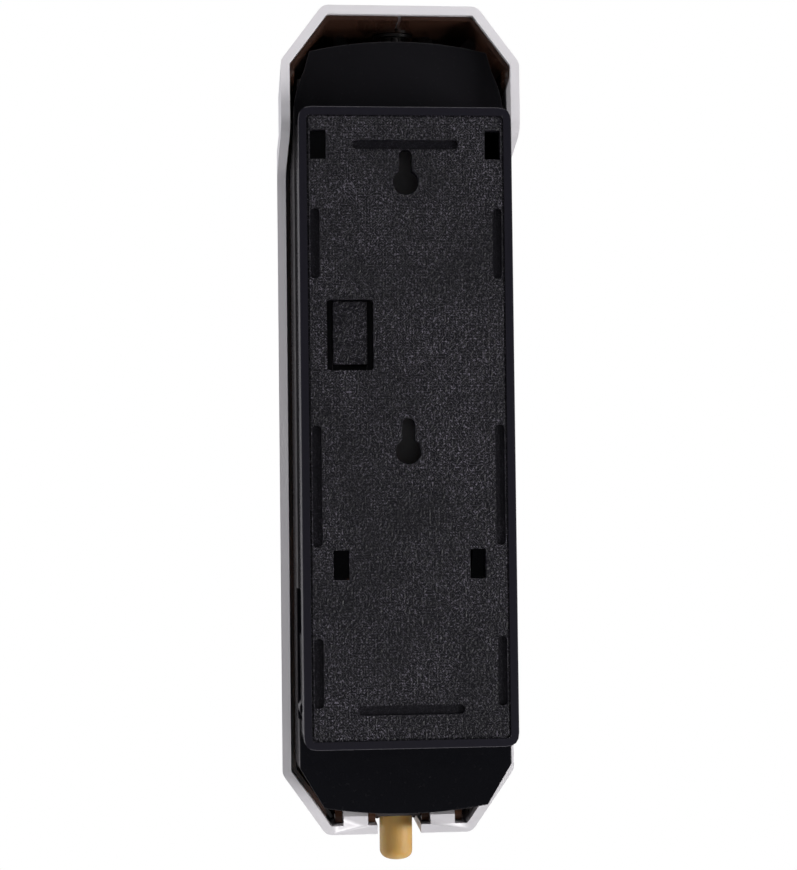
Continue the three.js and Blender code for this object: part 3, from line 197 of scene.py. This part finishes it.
def floor_finish():
    """Pale paint that fades, for the camera alone, into the backdrop's white further out."""
    material = bpy.data.materials.new("floor_paper")
    material.use_nodes = True
    tree = material.node_tree
    paper = tree.nodes["Principled BSDF"]
    paper.inputs["Base Color"].default_value = (0.86, 0.86, 0.85, 1)
    paper.inputs["Roughness"].default_value = 0.8
    glow = tree.nodes.new("ShaderNodeEmission")
    place = tree.nodes.new("ShaderNodeTexCoord")
    distance = tree.nodes.new("ShaderNodeVectorMath")
    distance.operation = "LENGTH"
    fade = tree.nodes.new("ShaderNodeMapRange")
    fade.interpolation_type = "SMOOTHSTEP"
    fade.inputs["From Min"].default_value = FADE_START
    fade.inputs["From Max"].default_value = FADE_END
    mix = tree.nodes.new("ShaderNodeMixShader")
    seen = tree.nodes.new("ShaderNodeLightPath")
    glow_share = tree.nodes.new("ShaderNodeMath")
    glow_share.operation = "MULTIPLY"
    tree.links.new(place.outputs["Object"], distance.inputs[0])
    tree.links.new(distance.outputs["Value"], fade.inputs["Value"])
    tree.links.new(fade.outputs["Result"], glow_share.inputs[0])
    tree.links.new(seen.outputs["Is Camera Ray"], glow_share.inputs[1])
    tree.links.new(glow_share.outputs["Value"], mix.inputs["Fac"])
    tree.links.new(paper.outputs["BSDF"], mix.inputs[1])
    tree.links.new(glow.outputs["Emission"], mix.inputs[2])
    tree.links.new(mix.outputs["Shader"], tree.nodes["Material Output"].inputs["Surface"])
    return material


floor_mesh = grid_mesh("floor", floor_points(FLOOR_RADIUS))
floor = bpy.data.objects.new("floor", floor_mesh)
floor.data.materials.append(floor_finish())
bpy.context.scene.collection.objects.link(floor)
print("floor at", FLOOR_Z)

# %% [markdown]
# ## Finishes
# Every finish is one Principled shader. Its grain, dust and painted glints come from noise in
# Object coordinates, which are metres here, so a scale of 1000 gives about one speck to a millimetre.
# Colours that are even all over sit on the shader's own sockets.

# %% Shader helpers
class Finish:
    """One material, with short ways to add noise, ramps, masks and bump."""

    def __init__(self, name, color, roughness, **sockets):
        self.material = bpy.data.materials.new(name)
        self.material.use_nodes = True
        self.tree = self.material.node_tree
        self.shader = self.tree.nodes["Principled BSDF"]
        self.set("Base Color", (*color, 1))
        self.set("Roughness", roughness)
        for socket, value in sockets.items():
            self.set(socket.replace("_", " "), value)
        self.place = self.node("ShaderNodeTexCoord").outputs["Object"]
        self.normal = None

    def set(self, socket, value):
        self.shader.inputs[socket].default_value = value

    def node(self, kind, **inputs):
        made = self.tree.nodes.new(kind)
        for socket, value in inputs.items():
            made.inputs[socket.replace("_", " ")].default_value = value
        return made

    def link(self, source, target):
        self.tree.links.new(source, target)

    def noise(self, scale, detail=2.0, rough=0.5, stretch=None):
        """Noise from 0 to 1; `stretch` scales the three axes before the noise is read."""
        noise = self.node("ShaderNodeTexNoise", Scale=scale, Detail=detail, Roughness=rough)
        place = self.place
        if stretch:
            mapping = self.node("ShaderNodeMapping", Scale=stretch)
            self.link(place, mapping.inputs["Vector"])
            place = mapping.outputs["Vector"]
        self.link(place, noise.inputs["Vector"])
        return noise.outputs["Fac"]

    def cells(self, scale):
        """Distance to the nearest of many scattered points."""
        voronoi = self.node("ShaderNodeTexVoronoi", Scale=scale)
        self.link(self.place, voronoi.inputs["Vector"])
        return voronoi.outputs["Distance"]

    def ramp(self, source, low, high, start=0.0, end=1.0):
        """Carries `source` from start..end onto low..high."""
        span = self.node(
            "ShaderNodeMapRange", From_Min=start, From_Max=end, To_Min=low, To_Max=high
        )
        self.link(source, span.inputs["Value"])
        return span.outputs["Result"]

    def math(self, operation, a, b):
        made = self.tree.nodes.new("ShaderNodeMath")
        made.operation = operation
        for socket, value in zip(made.inputs, (a, b)):
            if isinstance(value, (int, float)):
                socket.default_value = value
            else:
                self.link(value, socket)
        return made.outputs["Value"]

    def mixed(self, factor, color_a, color_b):
        """Colour that runs from one colour to another; either may be a socket."""
        mix = self.tree.nodes.new("ShaderNodeMix")
        mix.data_type = "RGBA"
        self.link(factor, next(i for i in mix.inputs if i.name == "Factor" and i.type == "VALUE"))
        for name, color in (("A", color_a), ("B", color_b)):
            socket = next(i for i in mix.inputs if i.name == name and i.type == "RGBA")
            if isinstance(color, tuple):
                socket.default_value = (*color, 1)
            else:
                self.link(color, socket)
        return next(o for o in mix.outputs if o.type == "RGBA")

    def blend(self, factor, color_a, color_b):
        """Base colour that runs from one colour to another."""
        self.link(self.mixed(factor, color_a, color_b), self.shader.inputs["Base Color"])

    def edges(self, radius, start=0.88, end=0.995):
        """1 along edges and 0 on flat areas, from the normal averaged over `radius` metres."""
        wide = self.node("ShaderNodeBevel", Radius=radius)
        wide.samples = 6
        dot = self.tree.nodes.new("ShaderNodeVectorMath")
        dot.operation = "DOT_PRODUCT"
        self.link(wide.outputs["Normal"], dot.inputs[0])
        self.link(self.node("ShaderNodeNewGeometry").outputs["Normal"], dot.inputs[1])
        return self.ramp(dot.outputs["Value"], 1, 0, start, end)

    def rough(self, factor):
        self.link(factor, self.shader.inputs["Roughness"])

    def bump(self, height, distance, strength=1.0):
        """Adds relief; `distance` is its depth in metres and `strength` may be a mask."""
        bump = self.node("ShaderNodeBump", Distance=distance)
        if isinstance(strength, (int, float)):
            bump.inputs["Strength"].default_value = strength
        else:
            self.link(strength, bump.inputs["Strength"])
        self.link(height, bump.inputs["Height"])
        if self.normal:
            self.link(self.normal, bump.inputs["Normal"])
        self.normal = bump.outputs["Normal"]
        self.link(self.normal, self.shader.inputs["Normal"])


def axes_of(finish):
    """The x, y and z of the place, apart."""
    split = finish.node("ShaderNodeSeparateXYZ")
    finish.link(finish.place, split.inputs["Vector"])
    return split.outputs


# %% [markdown]
# ### Plate plastic
# The plate is moulded with a pebbled field inside a narrow polished border. The field is found
# from the plate's own box: a mask is 1 inside it and 0 on the border, and the grain's bump and
# its duller gloss follow the mask. Painted highlights lighten the grain's crests, fewer in the
# recesses, and a painted highlight line runs along the plate's rounded outline.

# %% Plate finish
PLATE_BORDER = 2.5 * MM
RECESS_TOP, RECESS_FLOOR = 0.4 * MM, 1.1 * MM  # depths below the face that are smoother
# The painted highlight along the plate's outline begins RIM_START from the edge and is full at
# RIM_FULL.
RIM_START, RIM_FULL = 0.8 * MM, 0.4 * MM  # distances from the outline where the rim shines
plate_low, plate_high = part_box("wall_plate")
plate_centre = (plate_low + plate_high) / 2
plate_half = (plate_high - plate_low) / 2
print("half the plate:", tuple(round(v, 4) for v in plate_half))


def plate_finish():
    finish = Finish("plate_plastic", (0.012, 0.011, 0.015), 0.34, Specular_IOR_Level=0.2)
    x, depth, z = axes_of(finish)
    across = finish.math("ABSOLUTE", finish.math("SUBTRACT", x, plate_centre.x), 0)
    upward = finish.math("ABSOLUTE", finish.math("SUBTRACT", z, plate_centre.z), 0)
    inside_x = finish.math("LESS_THAN", across, plate_half.x - PLATE_BORDER)
    inside_z = finish.math("LESS_THAN", upward, plate_half.z - PLATE_BORDER)
    field = finish.math("MULTIPLY", inside_x, inside_z)
    below_face = finish.math("LESS_THAN", depth, plate_high.y - RECESS_TOP)
    above_tongue = finish.math("GREATER_THAN", depth, plate_high.y - RECESS_FLOOR)
    sunk = finish.math("MULTIPLY", below_face, above_tongue)
    sunk_field = finish.math("MULTIPLY", sunk, field)
    grained_part = finish.math("SUBTRACT", field, finish.math("MULTIPLY", sunk_field, 0.75))
    pebble = finish.noise(1150, detail=1.0, rough=0.5)
    veins = finish.math("ABSOLUTE", finish.math("SUBTRACT", pebble, 0.5), 0)
    crest = finish.ramp(veins, 1.0, 0.0, 0.003, 0.025)
    # Random patches that make the painted glints stronger or weaker.
    glint_patches = finish.ramp(finish.noise(38, detail=2.0), 0.3, 1.0, 0.36, 0.62)
    grain = finish.math("ADD", pebble, finish.math("MULTIPLY", crest, 0.25))
    finish.bump(grain, 0.0007, finish.ramp(grained_part, 0.01, 1.0))
    finish.rough(finish.ramp(field, 0.2, 0.4))
    # Painted glints: a lighter colour on the grain's crests stands in for highlights; it is weaker in
    # the recesses and patchy by noise.
    painted_glint = finish.math("MULTIPLY", finish.math("MULTIPLY", crest, grained_part), glint_patches)
    base = finish.mixed(field, (0.0105, 0.0098, 0.014), (0.0026, 0.0022, 0.0042))
    base_and_painted_glints = finish.mixed(painted_glint, base, (0.155, 0.142, 0.178))
    # Painted highlight: a lighter line along the plate's rounded outer edge.
    rims = [
        finish.ramp(reach, 0, 1, half - RIM_START, half - RIM_FULL)
        for reach, half in ((across, plate_half.x), (upward, plate_half.z))
    ]
    outer = finish.math("MAXIMUM", *rims)
    painted_edge_highlight = finish.math("MULTIPLY", finish.edges(0.4 * MM), outer)
    finish.blend(painted_edge_highlight, base_and_painted_glints, (0.12, 0.115, 0.125))
    return finish.material


# %% [markdown]
# ### Black and white plastics
# Polished plastic keeps a faint orange peel and handling dust. Its edges get painted highlight
# lines, and its side walls a painted grey reflection. The white cover is semi-gloss with a very
# fine mould texture.

# %% Opaque plastics
WALL_SKIN = 0.25 * MM
EAR_DEPTH, EAR_HEIGHT = -38 * MM, 14 * MM


def gloss_black_finish():
    """Polished black with dust specks and brown-stained hinge ears; the side walls carry a painted
    grey reflection, the edges painted highlight lines, and the colour greys towards the top.
    """
    chassis_low, chassis_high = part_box("chassis")
    finish = Finish("chassis_gloss_black", (0.0028, 0.0028, 0.004), 0.12, Specular_IOR_Level=0.14)
    finish.bump(finish.noise(140, detail=1.0), 0.00004)
    dust = finish.noise(900, detail=4.0, rough=0.7)
    x, y, z = axes_of(finish)
    wall = finish.math("GREATER_THAN", finish.math("ABSOLUTE", x, 0), chassis_high.x - WALL_SKIN)
    finish.rough(finish.ramp(dust, 0.08, 0.2, 0.35, 0.8))
    specks = finish.ramp(dust, 0, 0.25, 0.62, 0.85)
    # Painted reflection: the side walls are painted grey, mottled by the dust noise.
    painted_wall_reflection = finish.math("MULTIPLY", wall, finish.ramp(dust, 0.6, 1.0))
    haze = finish.math("MAXIMUM", specks, painted_wall_reflection)
    forward = finish.math("LESS_THAN", y, EAR_DEPTH)
    low_down = finish.math("LESS_THAN", z, chassis_low.z + EAR_HEIGHT)
    ears = finish.math("MULTIPLY", forward, low_down)
    # Greyer towards the top.
    greyer_upwards = finish.ramp(z, 0.0, 0.09, -0.1, 0.06)
    # Painted highlight lines along the rounded edges.
    painted_edge_lines = finish.math("MULTIPLY", finish.edges(0.35 * MM), 0.8)
    # haze here holds the dust specks, the painted wall reflection, the grey rise towards the top and
    # the painted edge lines.
    haze = finish.math("MAXIMUM", finish.math("ADD", haze, greyer_upwards), painted_edge_lines)
    polished_with_painted_light = finish.mixed(haze, (0.0024, 0.0024, 0.0038), (0.075, 0.07, 0.075))
    finish.blend(ears, polished_with_painted_light, (0.05, 0.024, 0.015))
    return finish.material


def satin_black_finish():
    finish = Finish("satin_black", (0.03, 0.024, 0.023), 0.45)
    grain = finish.noise(1500, detail=2.0)
    finish.bump(grain, 0.00012)
    finish.rough(finish.ramp(grain, 0.38, 0.55))
    finish.blend(grain, (0.026, 0.02, 0.019), (0.044, 0.036, 0.034))
    return finish.material


def white_finish():
    finish = Finish("cover_white", (0.70, 0.675, 0.70), 0.36)
    texture = finish.noise(2400, detail=2.0)
    finish.bump(texture, 0.00005)
    finish.bump(finish.noise(60, detail=1.0), 0.0002, 0.25)
    finish.rough(finish.ramp(finish.noise(240, detail=3.0), 0.3, 0.44))
    finish.blend(finish.noise(35, detail=2.0), (0.685, 0.66, 0.69), (0.72, 0.70, 0.72))
    return finish.material


# %% [markdown]
# ### Tinted plastics
# The inner cover is clear and tea-brown, and the tank is smoked. Both let light through, and a
# cloudy roughness keeps them from looking like glass.

# %% Tinted plastics
def tea_finish():
    finish = Finish("tea_brown_clear", (0.11, 0.05, 0.032), 0.08, Transmission_Weight=0.7, IOR=1.49)
    finish.bump(finish.noise(90, detail=1.0), 0.00008)
    haze = finish.noise(700, detail=3.0)
    finish.rough(finish.ramp(haze, 0.03, 0.14))
    finish.blend(finish.noise(30, detail=2.0), (0.095, 0.044, 0.028), (0.13, 0.06, 0.04))
    return finish.material


def smoked_finish():
    finish = Finish("tank_smoked", (0.3, 0.3, 0.31), 0.3, Transmission_Weight=0.7, IOR=1.5)
    cloud = finish.noise(220, detail=3.0)
    finish.rough(finish.ramp(cloud, 0.22, 0.42))
    finish.bump(cloud, 0.00008)
    finish.blend(cloud, (0.25, 0.25, 0.26), (0.36, 0.36, 0.37))
    return finish.material


# %% [markdown]
# ### Dipped rubber
# Natural rubber scatters light inside itself, so subsurface colour does most of the work. Fine
# dust and faint dipping streaks run along the tube, and its outline gets a painted shade: darker
# and browner where the tube is seen edge-on.

# %% Dipped rubber
def latex_finish():
    finish = Finish(
        "pump_latex", (0.36, 0.22, 0.062), 0.42, Subsurface_Weight=0.75, Subsurface_Scale=0.005,
        Sheen_Weight=0.15,
    )
    finish.set("Subsurface Radius", (1.0, 0.55, 0.2))
    dusting = finish.noise(420, detail=4.0, rough=0.65, stretch=(1, 1, 0.35))
    finish.bump(dusting, 0.00015)
    finish.rough(finish.ramp(dusting, 0.5, 0.66))
    # Painted shade: the tube's outline, where it is seen edge-on, is painted darker and browner.
    facing = finish.node("ShaderNodeLayerWeight", Blend=0.4).outputs["Facing"]
    painted_outline_shade = finish.math("POWER", facing, 2.2)
    streaks = finish.ramp(finish.noise(130, detail=3.0, stretch=(1, 1, 0.4)), 0.0, 0.45, 0.35, 0.7)
    finish.blend(finish.math("ADD", painted_outline_shade, streaks), (0.5, 0.305, 0.078), (0.34, 0.195, 0.042))
    return finish.material


# %% [markdown]
# ### Seals, nylon and metals
# Seals are matt and nylon is milky. Steel carries drawn marks, and the die-cast metal was
# tumbled and blackened.

# %% Seals, nylon and metals
def rubber_finish():
    finish = Finish("black_rubber", (0.02, 0.02, 0.021), 0.75)
    grain = finish.noise(1800, detail=2.0)
    finish.bump(grain, 0.0001)
    finish.blend(grain, (0.015, 0.015, 0.016), (0.03, 0.03, 0.031))
    return finish.material


def nylon_finish():
    finish = Finish(
        "natural_nylon", (0.66, 0.63, 0.55), 0.5, Subsurface_Weight=0.2, Subsurface_Scale=0.001
    )
    grain = finish.noise(900, detail=2.0)
    finish.bump(grain, 0.00006)
    finish.rough(finish.ramp(grain, 0.42, 0.58))
    return finish.material


def steel_finish():
    finish = Finish("plated_steel", (0.56, 0.56, 0.57), 0.28, Metallic=1.0)
    marks = finish.noise(500, detail=3.0, stretch=(1, 6, 6))
    finish.rough(finish.ramp(marks, 0.2, 0.42))
    finish.bump(marks, 0.00003)
    finish.blend(finish.noise(300, detail=2.0), (0.5, 0.5, 0.51), (0.62, 0.62, 0.62))
    return finish.material


def zinc_finish():
    finish = Finish("blackened_zinc", (0.02, 0.018, 0.018), 0.4, Metallic=0.4)
    tumbled = finish.cells(1400)
    finish.rough(finish.ramp(tumbled, 0.32, 0.5))
    finish.bump(tumbled, 0.00003)
    finish.blend(finish.noise(600, detail=2.0), (0.014, 0.012, 0.012), (0.032, 0.029, 0.028))
    return finish.material


# %% [markdown]
# ### One finish for each material slot
# The record names a slot for every piece. The plate and its tongue share a finish of their own.

# %% Finishes by slot
MATERIALS = {
    "grained_black": satin_black_finish(),
    "gloss_black": gloss_black_finish(),
    "white_abs": white_finish(),
    "tea_brown": tea_finish(),
    "smoked_clear": smoked_finish(),
    "latex": latex_finish(),
    "black_rubber": rubber_finish(),
    "steel": steel_finish(),
    "zinc": zinc_finish(),
    "natural_nylon": nylon_finish(),
}
PLATE_MATERIAL = plate_finish()
print("finishes:", len(MATERIALS) + 1)

# %% [markdown]
# ## Rounded mould edges
# A moulded part never has a knife edge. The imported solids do, so each is copied, its loose
# triangles are welded, flat areas become single faces again, and a narrow bevel rounds what is
# left. Nearly smooth joints between faces are shaded smooth.

# %% Rounded copies
SMOOTH_BELOW = math.radians(32)
FLAT_BELOW = math.radians(0.8)
SAME_PLACE = 2e-6  # corners closer than this, in metres, are one corner


def show_as(mesh, node, material):
    """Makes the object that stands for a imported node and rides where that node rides."""
    piece = bpy.data.objects.new(f"{node}_finished", mesh)
    bpy.context.scene.collection.objects.link(piece)
    mesh.materials.clear()
    mesh.materials.append(material)
    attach(piece, BODY_OF[node])
    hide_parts(node)
    return piece


def welded_copy(node):
    """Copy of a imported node's mesh with its corners joined and its flat areas made single faces."""
    mesh = NODES[node].data.copy()
    mesh.name = f"{node}_finished"
    work = bmesh.new()
    work.from_mesh(mesh)
    bmesh.ops.remove_doubles(work, verts=work.verts, dist=SAME_PLACE)
    bmesh.ops.dissolve_limit(
        work,
        angle_limit=FLAT_BELOW,
        verts=work.verts,
        edges=work.edges,
        delimit={"NORMAL"},
    )
    work.to_mesh(mesh)
    work.free()
    while mesh.attributes.get("custom_normal"):
        mesh.attributes.remove(mesh.attributes["custom_normal"])
    return mesh


def rounded(node, radius, material=None, segments=2):
    """A node with its sharp edges rounded to `radius` metres."""
    piece = show_as(welded_copy(node), node, material or MATERIALS[SLOT_OF[node]])
    mesh = piece.data
    mesh.polygons.foreach_set("use_smooth", np.ones(len(mesh.polygons), bool))
    bevel = piece.modifiers.new("mould edge", "BEVEL")
    bevel.width, bevel.segments, bevel.limit_method = radius, segments, "ANGLE"
    bevel.angle_limit = SMOOTH_BELOW
    bevel.use_clamp_overlap = True
    bevel.harden_normals = False
    bevel.miter_outer = "MITER_ARC"
    flatness = piece.modifiers.new("flat faces stay flat", "WEIGHTED_NORMAL")
    flatness.mode, flatness.weight = "FACE_AREA", 100
    return piece


# radius of each piece's mould edges in millimetres
ROUNDING = {
    "chassis": 0.3, "side_snap_left": 0.2, "side_snap_right": 0.2, "soap_tank": 0.5,
    "tank_lid": 0.4, "lid_gasket": 0.2, "pump_bracket": 0.3, "anvil_pad": 0.4,
    "nozzle_block": 0.3, "lock_striker": 0.2, "cover_frame": 0.45, "cover_panel": 0.25,
    "button_carrier": 0.25, "press_button": 0.3, "squeeze_bar": 0.4, "lock_barrel": 0.25,
    "lock_cam": 0.2, "hinge_pin_left": 0.15, "hinge_pin_right": 0.15,
}
ROUNDED = {node: rounded(node, radius * MM) for node, radius in ROUNDING.items()}
ROUNDED["wall_plate"] = rounded("wall_plate", 0.35 * MM, PLATE_MATERIAL, segments=3)
ROUNDED["detent_tongue"] = rounded("detent_tongue", 0.25 * MM, PLATE_MATERIAL)
print("rounded pieces:", len(ROUNDED))

# %% [markdown]
# ## Pump tube
# Dipped rubber is never quite round. The tube is a lathe with a slow ripple, a blunt end that
# sags a little to one side, and a slit pressed across the end.

# %% Pump tube
TIP_HEIGHT = 3.4 * MM
TUBE_BORE_SHARE = 0.65
SLIT_DEPTH, SLIT_HALF_LENGTH, SLIT_HALF_WIDTH = 0.7 * MM, 2.9 * MM, 0.17 * MM


def squeezed(piece):
    """Gives the piece a mesh of its own."""
    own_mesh(piece)


def blunt_end(radius, tip, height, steps):
    """Profile from the axis outwards: flat in the middle and turning up into the wall."""
    share = np.sin(np.linspace(0, np.pi / 2, steps))
    rise = 1 - (1 - share**2.5) ** (1 / 2.5)
    return np.stack([radius * np.maximum(share, 1e-4), tip + height * rise], -1)


def tube_points(spokes=128):
    """Lathe of outside, lip and bore, with a ripple of 0.4 % and exp(-(y/w)^2) for the slit."""
    low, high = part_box("pump_tube")
    middle = (low + high) / 2
    radius = (high.x - low.x) / 2 - 0.07 * MM
    bore = radius * TUBE_BORE_SHARE
    wall = np.linspace(low.z + TIP_HEIGHT, high.z - 0.5 * MM, 90)[1:]
    tip = blunt_end(radius, low.z + 0.2 * MM, TIP_HEIGHT, 40)
    outside = np.concatenate([tip, np.stack([np.full_like(wall, radius), wall], -1)])
    lip = np.array([
        [radius - 0.15 * MM, high.z - 0.1 * MM],
        [radius - 0.5 * MM, high.z],
        [bore + 0.4 * MM, high.z],
        [bore, high.z - 0.4 * MM],
    ])
    inside = blunt_end(bore, low.z + 2.2 * MM, TIP_HEIGHT, 16)[::-1]
    profile = np.concatenate([outside, lip, inside])
    turn = np.linspace(0, 2 * np.pi, spokes, endpoint=False)[None, :]
    r, z = profile[:, :1], profile[:, 1:] + 0 * turn
    near_tip = np.clip(1 - (z - low.z) / (3 * TIP_HEIGHT), 0, 1)
    ripple = 1 + 0.004 * np.sin(3 * turn + z * 130) + 0.004 * np.sin(2 * turn + 0.9 - z * 210)
    x, y = r * ripple * np.cos(turn), r * ripple * np.sin(turn)
    z = z + near_tip * 0.22 * MM * np.cos(turn - 0.6) * (r / radius) ** 2
    on_tip = (z < low.z + 1.6 * MM) & (np.abs(x) < SLIT_HALF_LENGTH)
    slit = np.exp(-((y / SLIT_HALF_WIDTH) ** 2)) * (1 - (x / SLIT_HALF_LENGTH) ** 4)
    z = z + np.where(on_tip, SLIT_DEPTH * slit, 0)
    return np.stack([middle.x + x, middle.y + y, z], -1)


def smooth_shaded(mesh):
    mesh.polygons.foreach_set("use_smooth", np.ones(len(mesh.polygons), bool))
    return mesh


tube_mesh = smooth_shaded(grid_mesh("pump_tube_finished", tube_points()))
tube = show_as(tube_mesh, "pump_tube", MATERIALS["latex"])
squeezed(tube)
ROUNDED["pump_tube"] = tube

# %% [markdown]
# ## Return springs
# Each spring is a wire swept along a helix whose end coils lie close together, as in a ground
# compression spring. It rides on the button.

# %% Return springs
SPRING_TURNS, WIRE_RADIUS = 7.0, 0.45 * MM
END_TURNS = 0.9  # turns at each end that lie close together


def spring_points(low, high, steps_per_turn=40, wire_sides=12):
    """Helix centre + r (cos, sin) whose rise is small in the end turns, with a round wire."""
    centre = (low + high) / 2
    radius = (high.z - low.z) / 2 - WIRE_RADIUS
    t = np.linspace(0, 1, int(SPRING_TURNS * steps_per_turn) + 1)
    turns = t * SPRING_TURNS
    open_part = np.clip((turns - END_TURNS) / (SPRING_TURNS - 2 * END_TURNS), 0, 1)
    last_part = np.clip(turns - SPRING_TURNS + END_TURNS, 0, END_TURNS)
    closed_part = np.clip(turns, 0, END_TURNS) + last_part
    pitch_closed = 2.15 * WIRE_RADIUS
    length = (high.y - low.y) - 2 * WIRE_RADIUS
    open_length = length - 2 * END_TURNS * pitch_closed
    y = low.y + WIRE_RADIUS + closed_part * pitch_closed + open_part * open_length
    turn = 2 * np.pi * SPRING_TURNS * t
    path = np.stack([centre.x + radius * np.cos(turn), y, centre.z + radius * np.sin(turn)], -1)
    outward = np.stack([np.cos(turn), 0 * turn, np.sin(turn)], -1)
    along = np.gradient(path, axis=0)
    along /= np.linalg.norm(along, axis=1, keepdims=True)
    across = np.cross(along, outward)
    side = np.linspace(0, 2 * np.pi, wire_sides, endpoint=False)[None, :, None]
    thick = np.full((len(t), 1, 1), WIRE_RADIUS)
    thick[0] = thick[-1] = WIRE_RADIUS * 0.02
    ring = np.cos(side) * outward[:, None] + np.sin(side) * across[:, None]
    return path[:, None] + thick * ring


for node in ("return_spring_left", "return_spring_right"):
    low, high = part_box(node)
    mesh = smooth_shaded(grid_mesh(f"{node}_finished", spring_points(low, high)))
    spring = show_as(mesh, node, MATERIALS["steel"])
    squeezed(spring)
    ROUNDED[node] = spring
print("pieces with a finished mesh:", len(ROUNDED))

# %% [markdown]
# ## Small pieces
# Screws, clamp, seat, seals, ball and clip are small and mostly hidden, so they keep their packed
# meshes and only get a finish. The lock's clip is die-cast, so it takes the blackened metal.

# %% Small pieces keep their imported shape
for node, packed in NODES.items():
    if node not in ROUNDED:
        packed.data.materials.clear()
        finish_name = "zinc" if node == "lock_clip" else SLOT_OF[node]
        packed.data.materials.append(MATERIALS[finish_name])
